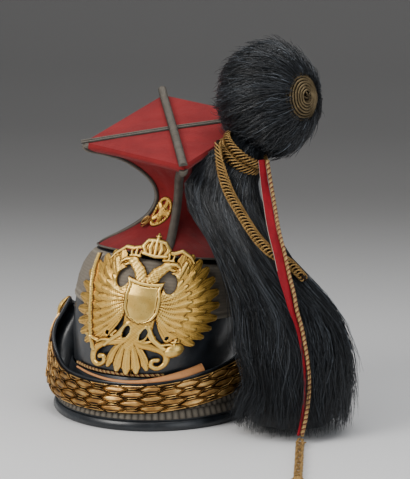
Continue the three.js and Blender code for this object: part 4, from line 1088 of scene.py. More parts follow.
def make_visor():
    """Visor, its woven lace and its rounded leather binding, and the neck peak behind."""
    angles = np.linspace(-VISOR_END, VISOR_END, 200)
    heights = np.linspace(48.5, 9.2, 36)
    run = along_knots(heights, VISOR["z"], VISOR["run"])
    section = np.concatenate([columns(run, heights), columns(run - LEATHER, heights)[::-2]])
    swept_piece("visor_leather", "black leather", "visor", section, angles)

    lace_angles = np.linspace(-VISOR_END + 2, VISOR_END - 2, 420)
    heights = np.linspace(VISOR_LACE_LOW, VISOR_LACE_HIGH, 34)
    run = along_knots(heights, VISOR["z"], VISOR["run"])
    share = (heights - VISOR_LACE_LOW) / (VISOR_LACE_HIGH - VISOR_LACE_LOW)
    rib = np.abs(np.sin(np.radians(lace_angles)[:, None] * 110 / 2.3
                        + np.where(share > 0.5, math.pi / 2, 0)[None]))
    body = np.sin(np.pi * np.clip((share % 0.5) * 2, 0, 1)) ** 0.5
    lift = GAP + 0.35 + 0.75 * rib * body[None]
    outer = columns(run[None] + lift, heights)
    back = columns(run + GAP, heights)[::-3]
    section = np.concatenate([outer, np.broadcast_to(back[None], (420, *back.shape))], 1)
    value = np.concatenate([0.05 + 0.85 * rib * body[None], np.full((420, len(back)), 0.1)], 1)
    swept_piece("visor_lace_woven", "woven lace", "visor_lace", section, lace_angles, value)

    inner = RIM_RUN - BINDING_DEEP + 2.2
    section = rounded([(inner, 0), (RIM_RUN + 1.2, -0.3), (RIM_RUN + 2.6, 2.2), (RIM_RUN + 1.9, 6.2),
                       (RIM_RUN - 0.3, BINDING_HIGH + 0.7), (inner - 0.8, BINDING_HIGH)], 3)
    section[:, 1] = np.maximum(section[:, 1], 0)
    swept_piece("visor_binding_rolled", "black leather", "visor_binding", section,
                np.linspace(-VISOR_END, VISOR_END, 220))

    start = VISOR_END + 0.6
    angles = np.linspace(start, 360 - start, 120)
    side = np.abs(np.cos(np.radians(angles - 180)))
    run = NECK_RUN + (RIM_RUN - 1 - NECK_RUN) * (1 - side) ** 2
    t = np.linspace(0, 1, 24)
    fore = 2 + run[:, None] * (0.35 * t * 2 * (t < 0.5) + (0.35 + 0.65 * (2 * t - 1)) * (t >= 0.5))
    fore = fore - 2 * smooth(t, 0.5, 1)[None]
    height = np.interp(t, [0, 0.47, 1], [48.5, 26, 0])
    wall = columns(fore, height)
    inner = wall[:, ::-1] - np.array([2.4, 0])
    section = np.concatenate([wall, inner], 1)
    swept_piece("neck_peak_leather", "black leather", "neck_peak", section, angles, sharp=50)


# ---- crown and its laces ----
def make_crown():
    """Waisted cloth crown: rounded squares with soft creases, and the square plate on top."""
    phi = around(256, 360)
    level = np.linspace(0, TOP_LEVEL, 130)
    base = crown_point(level[:, None], phi[None])
    free = np.abs(np.sin(np.radians(phi * 2)))[None] ** 0.7
    waist = (smooth(level, 0.8, 3) * (1 - smooth(level, 10, 12.4)))[:, None]
    crease = soft_noise(base * np.array([1, 1, 0.45]), 30, 5) * 0.8 + soft_noise(base, 14, 9) * 0.3
    outer = crown_point(level[:, None], phi[None], crease * free * waist)
    share = np.linspace(1, 0.02, 26)[1:]
    centre = crown_point(TOP_LEVEL, 0.0, -TOP_HALF, PLATE_RISE)
    rim = outer[-1]
    top = centre + (rim - centre) * share[:, None, None]
    up = unit(crown_point(TOP_LEVEL, 0.0, 0, 1) - crown_point(TOP_LEVEL, 0.0, 0, 0))
    dome = soft_noise(top, 34, 3)[..., None] * 0.35 * np.sin(np.pi * share)[:, None, None]
    top = top + dome * up
    inner = crown_point(level[:-4:4, None], phi[None], -CLOTH * math.sqrt(2))[::-1]
    rows = np.concatenate([inner, outer, top])
    put_piece("crown_cloth", Skin().grid(rows), "red cloth", "crown", sharp=42)


def lace_profile(half, thick, ribs):
    """Cross-section of a tress: a flat foot, and one round ridge or two ribs with a groove."""
    x = np.linspace(-1, 1, 29)
    edge = np.clip((1 - np.abs(x)) / 0.14, 0, 1) ** 0.5
    if ribs == 1:
        shape = np.sqrt(np.clip(1 - x * x, 0, 1)) ** 0.8
    else:
        shape = edge * (0.62 + 0.38 * np.cos((np.abs(x) - 0.52) / 0.48 * math.pi * 0.9))
        shape = shape * (1 - 0.62 * np.exp(-(x / 0.13) ** 2))
    return x * half, np.maximum(shape * thick, 0.02), shape


def lay_lace(name, node, frames, half, thick, ribs, size=None, fold=None):
    """Tress carried along frames; its stitches dent the groove every few millimetres.

    fold turns each side back from the middle by an angle at each station, as round a corner.
    """
    x, height, shape = lace_profile(half, thick, ribs)
    s = frames["s"]
    size = np.ones(len(s)) if size is None else size
    turn = np.zeros(len(s)) if fold is None else fold
    stitch = 0.5 + 0.5 * np.cos(s / 2.6 * TURN)
    beat = 1 - 0.16 * stitch[:, None] * (shape[None] > 0.3)
    rise = height[None] * beat
    flat = x[None] * size[:, None]
    bend = turn[:, None] * smooth(np.abs(x), 0.2, half * 0.5)[None]
    aside = flat * np.cos(bend) + rise * np.sin(bend) * np.sign(flat)
    out = -np.abs(flat) * np.sin(bend) + rise * np.cos(bend)
    low, top = (0.42, 1.0) if ribs == 2 else (0.12, 0.62)
    value = top * np.clip((shape[None] * beat - low) / (0.95 - low), 0, 1)
    skin = Skin()
    skin.grid(carried(frames, aside, out), s, np.append(x, x[0] + 2 * half), value)
    put_piece(name, skin, "tress lace", node, sharp=60)


def corner_frames(phi, steps):
    """Stations up a corner of the crown, with the directions along, across and outwards."""
    level = np.linspace(0.3, CROWN_ROWS - 2, steps)
    at = crown_point(level, phi, GAP + 0.1)
    radial = unit(crown_point(level, phi, 5.0) - crown_point(level, phi))
    across = crown_point(level, phi + 2.0) - crown_point(level, phi - 2.0)
    across = square_to(across, radial)
    along = unit(np.gradient(at, axis=0))
    normal = np.cross(along, across)
    normal = unit(normal * np.sign((normal * radial).sum(-1, keepdims=True)))
    s = run_of(at)
    return level, {"s": s, "at": at, "along": along, "across": across, "normal": normal,
                   "length": s[-1]}


def make_laces():
    """Tress up the four corners, two bands crossed on the plate, and the crown's foot piping."""
    for corner, phi in CORNERS.items():
        level, frames = corner_frames(float(phi), 170)
        foot = 0.75 + 0.25 * smooth(level, 0, 2)
        ribs = 1 if corner == "front" else 2
        square = np.clip(2 - np.interp(level, np.arange(CROWN_ROWS), CROWN["round"]), 0, 1)
        fold = np.radians(38 if ribs == 2 else 24) * square
        lay_lace(f"lace_{corner}_tress", f"lace_{corner}", frames, 4.6, 2.1 + (ribs == 1) * 0.7, ribs,
                 foot, fold)
    up = unit(crown_point(TOP_LEVEL, 0.0, 0, 1) - crown_point(TOP_LEVEL, 0.0, 0, 0))
    middle = crown_point(TOP_LEVEL, 0.0, -TOP_HALF, 0)
    reach = np.linspace(-1, 1, 180)
    for name, phi, half, thick, ribs in (("side", 0.0, 3.8, 1.7, 2), ("front", 270.0, 4.2, 4.2, 1)):
        if name == "side":
            share, rise = reach * 1.035, 0.35 + PLATE_RISE * (1 - np.abs(reach))
        else:
            proud = 1 - smooth(reach, -0.97, -0.84)
            share = reach * 1.035 - 0.03 * proud
            rise = PLATE_RISE - 0.3 + 2.6 * (1 - reach ** 2) + 3 * proud
        tip = crown_point(TOP_LEVEL, phi)
        at = middle + (tip - middle) * share[:, None] + up * rise[:, None]
        s = run_of(at)
        across = unit(crown_point(TOP_LEVEL, phi + 90) - crown_point(TOP_LEVEL, phi - 90))
        frames = {"s": s, "at": at, "along": unit(np.gradient(at, axis=0)),
                  "across": np.broadcast_to(across, at.shape), "normal": np.broadcast_to(up, at.shape),
                  "length": s[-1]}
        lay_lace(f"lace_cross_{name}_tress", f"lace_cross_{name}", frames, half, thick, ribs)
    skin = Skin()
    ring_tube(skin, crown_point(0.12, around(240, 360), 1.3), 1.1, 8, 0.6)
    put_piece("crown_foot_piping", skin, "tress lace")
    skin = Skin()
    globe(skin, crown_point(TOP_LEVEL - 0.9, 180.0, -4.2), 4.7, 0.7)
    put_piece("lace_left_tip", skin, "tress lace")


# ---- cast relief ----
def along_line(s, t, line, halves):
    """Distance from each place to a bent line, the half-width there, and the share along it."""
    line = np.asarray(line, float)
    halves = np.asarray(halves, float)
    best = np.full(s.shape, 1e9)
    width, share = np.zeros(s.shape), np.zeros(s.shape)
    side = np.zeros(s.shape)
    start = run_of(line)
    start = start / start[-1]
    for i in range(len(line) - 1):
        way = line[i + 1] - line[i]
        k = np.clip(((s - line[i, 0]) * way[0] + (t - line[i, 1]) * way[1]) / (way @ way), 0, 1)
        ds, dt = s - line[i, 0] - k * way[0], t - line[i, 1] - k * way[1]
        gap = np.hypot(ds, dt)
        half = halves[i] + (halves[i + 1] - halves[i]) * k
        near = gap - half < best
        best = np.where(near, gap - half, best)
        width = np.where(near, half, width)
        share = np.where(near, start[i] + (start[i + 1] - start[i]) * k, share)
        side = np.where(near, (way[0] * dt - way[1] * ds) / np.hypot(*way), side)
    return best, width, share, side


def limb(s, t, line, halves, rise, flat=0.5):
    """Rounded ridge along a line: rise (1 - (d/half)^2)^flat inside, minus the gap outside."""
    edge, half, _, _ = along_line(s, t, line, halves)
    inside = np.clip(1 - ((edge + half) / half) ** 2, 0, 1) ** flat
    return np.where(edge < 0, rise * inside, -edge)


def blob(s, t, middle, wide, tall, rise):
    """Domed oval of half-widths wide and tall: rise sqrt(1 - reach^2) inside."""
    reach = np.hypot((s - middle[0]) / wide, (t - middle[1]) / tall)
    inside = np.clip(1 - reach ** 2, 0, 1) ** 0.5
    return np.where(reach < 1, rise * inside, -(reach - 1) * min(wide, tall))


def feather(s, t, root, tip, half, rise, bend=0.0, root_wide=0.4):
    """Feather with a round tip: a shaft, two grooves beside it and slanting barbs."""
    root, tip = np.array(root, float), np.array(tip, float)
    way = tip - root
    normal = np.array([-way[1], way[0]])
    knots = np.linspace(0, 1, 7)
    line = root + way * knots[:, None] + normal * (bend * np.sin(np.pi * knots))[:, None]
    halves = half * np.interp(knots, [0, 0.6, 0.88, 1], [root_wide, 0.85, 1.0, 0.55])
    edge, width, share, side = along_line(s, t, line, halves)
    inside = np.clip(-edge / width, 0, 1)
    body = rise * np.clip(inside * 2.2, 0, 1) ** 0.6
    shaft = 0.35 * np.exp(-(side / 0.45) ** 2)
    lanes = -0.38 * np.exp(-((np.abs(side) - 0.5 * width) / 0.42) ** 2)
    barbs = 0.16 * np.sin((share * np.hypot(*way) - np.abs(side) * 0.9) * TURN / 1.7)
    detail = (shaft + lanes + barbs) * np.clip(inside * 4, 0, 1)
    return np.where(edge < 0, body + detail, -edge)


def eagle_wing(s, t):
    """One wing on the side where s is positive: three fans of long feathers over a scaled arm."""
    highest = np.full(s.shape, -9.0)
    fans = ((12, 86, -74, 45.5, 5.4, 0.9), (11, 84, -70, 34.5, 4.6, 1.6), (9, 80, -64, 23.5, 4.0, 2.3))
    for count, high, low, reach, half, rise in fans:
        middle = 13 + 18 * reach / 45.5
        for angle in np.radians(np.linspace(high, low, count)):
            end = (middle + reach * 0.78 * math.cos(angle), -2 + reach * math.sin(angle))
            start = (13 + 3 * math.cos(angle), -1 + 7 * math.sin(angle))
            leaf = feather(s, t, start, end, half, rise, -0.05)
            highest = np.maximum(highest, leaf)
    grain = np.cos((s + t * 0.5) * TURN / 2.9) * np.cos((t - s * 0.45) * TURN / 2.9)
    near = 1 - smooth(np.hypot((s - 14) * 1.15, t - 3), 14, 24)
    highest = np.where(highest > 0.6, highest + near * (0.9 + 0.4 * grain), highest)
    arm = limb(s, t, [(13, -3), (16, 6), (22, 15), (29, 25), (35, 35)], [4, 3.8, 3.4, 2.9, 2.2], 3.1,
               0.4)
    beads = 0.35 * np.cos((t + s * 0.7) * TURN / 3.0) * np.cos((s - t * 0.5) * TURN / 3.0)
    return np.maximum(highest, np.where(arm > 0.4, arm + beads, arm))


def eagle_side(s, t):
    """Neck, crowned head with an open beak, leg, claw and tail leaves of one side."""
    neck, half, _, side = along_line(s, t, [(2.5, 10), (4.5, 18), (8, 25), (15, 31)], [6, 6, 5.4, 4.6])
    scales = 0.4 * np.cos(t * TURN / 3.0) * np.cos(side * TURN / 3.2)
    inside = np.clip(-neck / np.maximum(half, 1), 0, 1)
    high = np.where(neck < 0, 3.8 * np.clip(inside * 1.8, 0, 1) ** 0.5 + scales, -neck)
    limbs = (([(20, 35), (25, 34.6), (28.6, 31.6), (29, 28)], [2.6, 2.1, 1.3, 0.5], 3.6),
             ([(19.5, 30.6), (23, 29), (25.5, 29.4)], [1.9, 1.4, 0.6], 3.0),
             ([(21, 32), (25, 31.4), (27.5, 33)], [0.9, 0.7, 0.5], 2.2),
             ([(12, 38.2), (17, 38.8), (22, 38.2)], [1.5, 1.5, 1.5], 3.6),
             ([(13, 38.5), (12, 43.5)], [1.2, 1.1], 3.0), ([(17, 38.5), (17.3, 45)], [1.4, 1.5], 3.2),
             ([(21, 38.5), (22.6, 43)], [1.2, 1.1], 3.0),
             ([(7, 46), (13, 47.5), (22, 45.5), (31, 47.5), (40, 41), (43, 35)],
              [1.9, 2.1, 2.3, 2.1, 1.9, 1.1], 2.1),
             ([(8, -20), (15, -32), (26, -43)], [3.4, 2.6, 2.3], 3.8, 0.4),
             ([(22, -38), (30, -38), (35, -41)], [1.7, 1.5, 0.7], 3.8))
    parts = [limb(s, t, *row) for row in limbs]
    return np.maximum.reduce([high, blob(s, t, (17, 33), 5.6, 4.9, 4.4), *parts])


def eagle_tail(s, t):
    """Tail of one side: an open scroll that curls back on itself, and leaves in a fan."""
    scroll = [(2, -35), (9, -38.5), (19, -40.5), (28, -44), (33.5, -51), (33, -59.5), (27, -63.5),
              (21.5, -60.5), (22, -55), (26, -54.5)]
    knots, fine = np.arange(len(scroll)), np.linspace(0, len(scroll) - 1, 34)
    widths = np.interp(fine, knots, [3.4, 3.8, 3.8, 3.6, 3.3, 3.0, 2.7, 2.4, 2.2, 2.6])
    parts = [limb(s, t, along_knots(fine, knots, scroll), widths, 2.9),
             limb(s, t, [(3, -34), (12, -36), (19, -33), (17, -29)], [1.8, 2.0, 1.6, 1.3], 2.6),
             feather(s, t, (2, -37), (8.8, -68), 4.5, 2.3, 0.04, 0.6),
             feather(s, t, (4, -37), (17.5, -64), 4.1, 2.1, 0.08, 0.6)]
    return np.maximum.reduce(parts)


def eagle_height(s, t):
    """Height of the double-headed eagle over its ground, below 0 outside its outline."""
    a = np.abs(s)
    aside = s + TAIL_ASIDE * smooth(-t, 20, 45)
    parts = [eagle_wing(a, t), eagle_side(a, t), eagle_tail(np.abs(aside), t)]
    body = limb(aside, t, [(0, 6), (0, -10), (0, -22), (0, -31), (0, -42)], [13, 13, 13, 12, 5], 3.2,
                0.35)
    plumage = 0.2 * np.cos(t * TURN / 3.6) * np.cos(s * TURN / 4.2 + (t / 3.6) * math.pi)
    parts.append(np.where(body > 0.5, body + plumage, body))
    parts.append(feather(aside, t, (0, -37), (0, -70), 4.6, 2.8, 0.0, 0.6))
    relief = np.maximum.reduce(parts)
    for side in (-1, 1):
        hole = np.hypot((aside - 7.4 * side) / 2.7, (t + 27.5) / 6.4) - 1
        relief = np.where(hole < 0, np.minimum(relief, hole * 2.5), relief)
        beside = np.hypot((s - 21.5 * side) / 6.0, (t - 17.5) / 8.5) - 1
        relief = np.where(beside < 0, np.minimum(relief, beside * 3), relief)
        tear = np.hypot((s - 26 * side) / 1.5, (t + 31) / 2.4) - 1
        relief = np.where(tear < 0, np.minimum(relief, tear * 2), relief)
    gap = np.abs(s) / 4.0 + np.abs(t - 31) / 7.5 - 1
    relief = np.where(gap < 0, np.minimum(relief, gap * 3.6), relief)
    sword = limb(s, t, [(-37, -48), (-41, -38), (-50, 0), (-61, 38)], [1.9, 1.4, 1.5, 0.6], 4.6, 0.35)
    guard = limb(s, t, [(-47, -34), (-41, -36), (-34, -38.5)], [1.4, 1.5, 1.4], 5.2)
    orb = blob(s, t, (34, -46), 8.6, 8.6, 6.0)
    belt = np.where(orb > 0, 0.6 * np.exp(-((t + 45) / 0.9) ** 2), 0)
    cross = np.maximum(limb(s, t, [(33, -39), (33.6, -33)], [1.1, 1.4], 4.6),
                       limb(s, t, [(30.6, -35.4), (36.2, -36)], [1.0, 1.0], 4.6))
    relief = np.maximum.reduce([relief, sword, guard, orb + belt, cross])
    return np.maximum(relief, eagle_middle(s, t))


def eagle_middle(s, t):
    """Shield with a raised rim and a bare field, and the large crown above the necks."""
    flank = np.interp(t, [-17.5, -16.2, -12.5, -6, 5, 12, 17.5, 19.5],
                      [0.3, 5.5, 11.2, 14.9, 15.4, 14.2, 16.2, 17.4])
    top = 16.2 + 1.9 * (np.abs(s) / 14) ** 2
    inset = np.minimum(flank - np.abs(s), top - t)
    rim = np.clip(inset / 0.8, 0, 1) ** 0.5 * 5.0 - 1.2 * smooth(inset, 2.0, 3.4)
    field = np.where(inset > 3.4, 1.3 * (1 - (s / 17) ** 2) + 0.4 * (1 - (t / 19) ** 2), 0)
    shield = np.where(inset > 0, rim + field, inset)
    base = limb(s, t, [(-9.4, 42.2), (3, 40.8), (14.5, 42.6)], [2.2, 2.3, 2.2], 5.0)
    parts = [shield, base, blob(s, t, (3, 50), 14, 10, 2.8)]
    for way in (-1, -0.45, 0, 0.45, 1):
        lean = way * 1.0
        line = [(2.5 + way * 9.5, 43), (2.5 + way * 13 + lean, 49), (2.5 + way * 9 + lean, 55.5),
                (3, 57.5)]
        parts.append(limb(s, t, line, [2.0, 2.7, 2.3, 1.8], 4.6 - 0.8 * abs(way)))
        parts.append(blob(s, t, (2.5 + way * 11.5 + lean, 49), 1.5, 1.5, 4.9 - 0.8 * abs(way)))
    parts.append(blob(s, t, (3, 58.6), 2.6, 2.6, 4.6))
    parts.append(limb(s, t, [(3, 58), (3.2, 63.8)], [1.0, 1.3], 3.6))
    parts.append(limb(s, t, [(0.6, 61.4), (5.8, 61.6)], [0.9, 0.9], 3.6))
    return np.maximum.reduce(parts)


def raised(skin, ground, height, span, cell, base):
    """Cast plate from a height over a grid: its edge follows the line where the height is 0.

    Cells with a corner inside are kept. A corner outside moves down the slope to the edge. The
    back is the same net on the ground, and walls join the two along the outline.
    """
    s0, s1, t0, t1 = span
    s, t = np.meshgrid(np.arange(s0, s1 + cell, cell), np.arange(t0, t1 + cell, cell), indexing="ij")
    high = height(s, t)
    inside = high > 0
    kept = inside[:-1, :-1] | inside[1:, :-1] | inside[:-1, 1:] | inside[1:, 1:]
    slope_s, slope_t = np.gradient(high, cell)
    steep = np.maximum(np.hypot(slope_s, slope_t), 0.5)
    move = np.where(inside, 0, np.minimum(-high / steep, cell * 1.1))
    s = s + move * slope_s / steep
    t = t + move * slope_t / steep
    top = np.where(inside, high, 0)
    soft = top.copy()
    for _ in range(5):
        soft = (np.roll(soft, 1, 0) + np.roll(soft, -1, 0) + np.roll(soft, 1, 1) + np.roll(soft, -1, 1)
                + 2 * soft) / 6
    relief = np.clip(0.5 + 0.85 * (top - soft) + 0.045 * (top - 1.5), 0, 1)
    rows, cols = s.shape
    index = np.arange(rows * cols).reshape(rows, cols)
    quads = columns(index[:-1, :-1], index[1:, :-1], index[1:, 1:], index[:-1, 1:])[kept]
    used, flat = np.unique(quads, return_inverse=True)
    quads = flat.reshape(-1, 4)
    s, t, top, relief = (values.ravel()[used] for values in (s, t, top, relief))
    count = len(used)
    edges = np.concatenate([quads[:, [k, (k + 1) % 4]] for k in range(4)])
    key = edges[:, 0] * count + edges[:, 1]
    twin = edges[:, 1] * count + edges[:, 0]
    rim = edges[~np.isin(key, twin)]
    walls = columns(rim[:, 1], rim[:, 0], rim[:, 0] + count, rim[:, 1] + count)
    points = np.concatenate([ground(s, t, base + top), ground(s, t, 0 * s)])
    faces = [quads, quads[:, ::-1] + count, walls]
    if signed_volume(points, faces) < 0:
        faces = [block[:, ::-1] for block in faces]
    places = np.tile(columns(s, t), (2, 1))
    value = np.concatenate([relief, 0 * relief])
    skin.add(points, faces, [places[block.ravel()] for block in faces], value)


def eagle_ground(s, t, h):
    """Place on the plate's guide: along the skull by s, up it by t and out by h."""
    roll = math.radians(EAGLE["roll"])
    up = (t + EAGLE["skew"] * s * smooth(np.abs(s), 10, 40)) * EAGLE["squeeze"]
    aside = s * math.cos(roll) + up * math.sin(roll)
    z = EAGLE["z"] + up * math.cos(roll) - s * math.sin(roll)
    angle = EAGLE["angle"] + np.degrees(aside / EAGLE["per"])
    return around_skull(angle, z, EAGLE["lift"] + h, PLATE_GUIDE)


def make_eagle():
    """Cast double-headed eagle with a bare shield."""
    skin = Skin()
    raised(skin, eagle_ground, eagle_height, (-70, 70, -71, 67), setting("relief_cell"), 0.55)
    put_piece("eagle_cast", skin, "gilt", "eagle_plate", sharp=60)


def rose_ground(s, t, h):
    """Place on the crown's left-front side about the rosette's middle."""
    level = ROSE["level"] + t / 12.5
    mid = crown_point(level, ROSE["phi"])
    side = unit(crown_point(level, ROSE["phi"] + 20.0) - mid)
    up = unit(crown_point(level + 0.3, ROSE["phi"]) - crown_point(level - 0.3, ROSE["phi"]))
    normal = unit(np.cross(up, side))
    normal = normal * np.sign(normal @ np.array([-0.5, -0.85, 0.2]))[..., None]
    return mid + side * np.asarray(s)[..., None] + normal * (0.55 + np.asarray(h))[..., None]


def rose_height(s, t):
    """Pierced oval of leaves round a granular boss, inside a beaded rim."""
    wide, tall = ROSE["wide"], ROSE["tall"]
    reach = np.hypot(s / wide, t / tall)
    angle = np.arctan2(t / tall, s / wide)
    rim = 1.5 * np.clip(1 - ((reach - 0.88) / 0.12) ** 2, 0, 1) ** 0.5
    rim = np.where(np.abs(reach - 0.88) < 0.12, rim + 0.35 * np.cos(angle * 30),
                   -(np.abs(reach - 0.88) - 0.12) * wide)
    leaf = np.cos(angle * 5)
    leaves = 1.9 * (0.30 + 0.62 * np.clip(leaf, -0.4, 1) - (reach - 0.45)) * (reach < 0.86)
    leaves = np.where(leaves > 0, np.minimum(leaves * 2.2, 1.6) + 0.3 * np.cos(angle * 15), leaves)
    boss = blob(s, t, (0, 0), 4.2, 5.2, 2.8)
    grains = 0.4 * np.cos(s * TURN / 1.7) * np.cos(t * TURN / 1.7)
    return np.maximum.reduce([rim, leaves, np.where(boss > 0.2, boss + grains, boss)])


def make_rosette():
    """Side rosette and the wire loops that hang from its lower end."""
    skin = Skin()
    raised(skin, rose_ground, rose_height, (-11, 11, -15, 15), 0.3, 0.4)
    put_piece("side_rosette_cast", skin, "gilt", "side_rosette", sharp=60)
    skin = Skin()
    angle = around(48)
    for ring, (s0, t0, r, lift) in enumerate(((-9.8, -12.6, 5.2, 0.4), (-8.6, -11.0, 3.9, 1.0),
                                              (-10.8, -11.4, 4.4, 1.5))):
        line = rose_ground(s0 + 0.6 * r * np.cos(angle), t0 + r * np.sin(angle), 1.9 + lift)
        ring_tube(skin, line, 0.7, 8, 0.4 + 0.15 * ring)
    put_piece("rosette_loops", skin, "old gilt", "rosette_loop")


# ---- chin chain ----
def lathe(skin, centre, axis, radius, height, value):
    """Outline of radii and heights turned about an axis through a centre."""
    axis = unit(np.asarray(axis, float))
    side = unit(np.cross(axis, [0.0, 0.0, 1.0]))
    sides = 72
    spoke = spokes(side, np.cross(axis, side), around(sides))
    points = centre + spoke[None] * radius[:, None, None] + axis * height[:, None, None]
    skin.grid(points, np.arange(len(radius)) * 0.6, np.arange(sides + 1) * 0.8, value)


def make_chin_bosses():
    """Turned bosses at the ends of the chin chain: a dome in a stepped, beaded frame."""
    frames = chain_frames()
    run, lift = BOSS_ON_CHAIN["run"], BOSS_ON_CHAIN["lift"]
    on_chain = at_frame(frames, run, 0.0, lift)
    skull = [around_skull(BOSS_ON_SKULL["angle"], BOSS_ON_SKULL["z"], out)
             for out in (BOSS_ON_SKULL["out"], 9.0)]
    seats = {"chin_boss_right": (on_chain, at_frame(frames, run, 0.0, lift + 5) - on_chain),
             "chin_boss_left": (skull[0], skull[1] - skull[0])}
    r = np.array([1, 10.5, 12, 12, 11.3, 10.2, 9.6, 9.0, 8.6, 8.2, 7.0, 5.2, 3.0, 1.0])
    h = np.array([0, 0, 0.3, 1.7, 2.5, 2.7, 2.2, 2.5, 3.3, 4.2, 5.1, 5.7, 6.1, 6.2])
    tone = [0, 0, .3, .7, .8, .5, .2, .4, .7, .7, .6, .6, .7, .8]
    spots, knots = np.linspace(0, len(r) - 1, 60), np.arange(len(r))
    for node, (at, axis) in seats.items():
        skin = Skin()
        lathe(skin, at, axis, np.interp(spots, knots, r), np.interp(spots, knots, h),
              np.interp(spots, knots, tone))
        put_piece(f"{node}_turned", skin, "gilt", node, sharp=50)


def chain_frames():
    """Frames along the chin chain, its faces leaning upwards over the visor."""
    points = skirt_point(CHAIN_LINE["angle"], CHAIN_LINE["out"], CHAIN_LINE["z"])
    frames = path_frames(points, [0, 0, 1], 700)
    x, y, z = frames["at"].T
    normal = unit(columns(x / SKIRT_SIDE ** 2, y / SKIRT_FORE ** 2, 0))
    normal[:, 2] = math.tan(math.radians(CHAIN_LAY)) * (1 - smooth(z, 30, 88))
    return frames_of(frames["at"], normal, frames["s"])


def make_chain():
    """Leather strap, a black block under it that reaches in towards the skull and is partly painted
    shade, and its 22 pointed, ridged scales, one behind another.
    """
    frames = chain_frames()
    half = CHAIN_WIDE / 2
    edge = rounded([(-half + 1, -CHAIN_THICK), (half + 1, -CHAIN_THICK - 0.4),
                    (half + STRAP_PROUD, -CHAIN_THICK - 0.2), (half + STRAP_PROUD + 0.6, 0.9),
                    (half + STRAP_PROUD - 1.4, 1.3), (half + 0.4, 0.2), (-half + 1, 0)], 3)
    across, height = edge.T
    points = carried(frames, across[None], height[None])[::3]
    skin = Skin()
    skin.grid(points, frames["s"][::3], np.append(across, across[0]), 1.0)
    # Black block under the strap: partly its hidden inner side, partly a dark sheet put as painted
    # shade between strap and skull.
    s = np.linspace(2, STRAP_INNER_AND_SHADE_RUN, 60)
    inner_and_shade_drop = STRAP_INNER_AND_SHADE * smooth(s, 0, 12) * (1 - smooth(s, 62, STRAP_INNER_AND_SHADE_RUN))
    ring = ((0.45, 0), (-0.7, 0), (-0.7, -1), (0.45, -1))
    rows = [at_frame(frames, s, x * half, deep * inner_and_shade_drop - CHAIN_THICK * 0.4) for x, deep in ring]
    skin.grid(np.stack(rows, 1), value=1.0)
    put_piece("chin_strap_leather", skin, "black leather", "chin_strap_backing")
    pitch = (frames["length"] - CHAIN_POINT) / LINKS
    rng = np.random.default_rng(22)
    for link in range(LINKS):
        skin = Skin()
        scale(skin, frames, link * pitch, pitch - 0.25, link, rng.uniform(-1, 1, 3))
        put_piece(f"chin_scale_{link + 1:02d}", skin, "old gilt", f"chin_link_{link + 1:02d}", sharp=50)


def scale(skin, frames, start, length, number, tilt):
    """One scale: lobes side by side, each a long lozenge with a raised rim and a middle ridge.

    A zigzag z across the width is 1 at a lobe's middle and -1 between lobes. The two ends run out
    by half a point times z, and every second scale is shifted by half a lobe, so that the points
    of one scale lie in the notches of the next.
    """
    half = CHAIN_WIDE / 2
    y = np.linspace(-1, 1, 73)[None]
    a = np.linspace(0, 1, 31)[:, None]
    lobe = ((y + 1) / 2 * LOBES + 0.5 * (number % 2)) % 1
    aside = np.abs(2 * lobe - 1) ** (1 + 0.12 * tilt[1])
    zig = (1 - 2 * aside) * (1 + 0.12 * tilt[0])
    begin = -SCALE_POINT / 2 * zig
    finish = length + SCALE_POINT / 2 * zig + 0.35 * np.sin(y * 7 + 2 * number)
    x = start + CHAIN_POINT / 2 + begin + (finish - begin) * a
    flank = (1 - aside) * half / LOBES
    ends = np.minimum(a, 1 - a) * (finish - begin) * 0.62
    inset = np.minimum(np.minimum(flank, ends), (1 - np.abs(y)) * half)
    wander = 0.9 * soft_noise(columns(x * 0.5, y * half, 0), 7, number)
    rim = np.exp(-((inset - 0.95) / 0.42) ** 2)
    ridge = smooth(inset + 0.3 * wander, 1.9, 3.4)
    fall = smooth(inset, 0.15, 0.75)
    height = fall * (0.9 + 0.8 * rim + 1.0 * ridge + 0.12 * wander) + 1.5 * a * fall
    arch = 0.8 * (1 - np.abs(y) ** 2.4)
    lift = tilt[0] * 0.3 * y + tilt[1] * 0.35 * a + 0.2 * tilt[2]
    top = at_frame(frames, x, y * half + 0 * x, 1.0 + arch + height + lift * fall)
    back = at_frame(frames, x, y * half + 0 * x, 0.7 + arch * 0.8 + 0 * x)
    rows = np.concatenate([top, back[:, ::-1]], 1)
    value = np.clip(0.04 + fall * (0.2 + 0.62 * rim + 0.36 * ridge) + 0.16 * wander, 0, 1)
    value = np.concatenate([value, 0 * value], 1)
    skin.grid(rows, value=value)


def make_visor_trims():
    """Brown strap end and the thin twisted cord along the joint of skull and visor."""
    points = skirt_point(VISOR_CORD["angle"], VISOR_CORD["out"], VISOR_CORD["z"])
    frames = path_frames(points, [0, 0, 1], 200)
    skin = Skin()
    twisted(skin, frames, VISOR_CORD_R, 3, 5.0, 0.6)
    put_piece("visor_cord_twist", skin, "mixed cord", "visor_cord")
    angle, out, z = (TONGUE[name] for name in ("angle", "out", "z"))
    face = np.radians(TONGUE["face"])
    at = skirt_point(angle, out, z)
    along = unit(skirt_point(angle + 1, out, z) - skirt_point(angle - 1, out, z))
    aside = -unit(np.cross([0.0, 0.0, 1.0], along))
    normal = aside * np.cos(face)[:, None] + np.array([0, 0, 1]) * np.sin(face)[:, None]
    frames = path_frames(at, normal, 220)
    half = along_knots(frames["s"], np.linspace(0, frames["length"], len(z)), TONGUE["half"])
    section = rounded([(-1, 0), (1, 0), (1, 1.8), (-1, 1.8)], 2)
    x, height = section.T
    curl = 0.25 * np.sin(frames["s"] / 9)
    points = carried(frames, half[:, None] * x, height * (1 - 0.15 * np.abs(x)) + curl[:, None] * 0.3)
    put_piece("strap_tongue_hide",
              Skin().grid(points, frames["s"], np.append(x, x[0]) * 4, (1 - np.abs(x) ** 4)[None]),
              "brown leather", "strap_tongue", sharp=60)


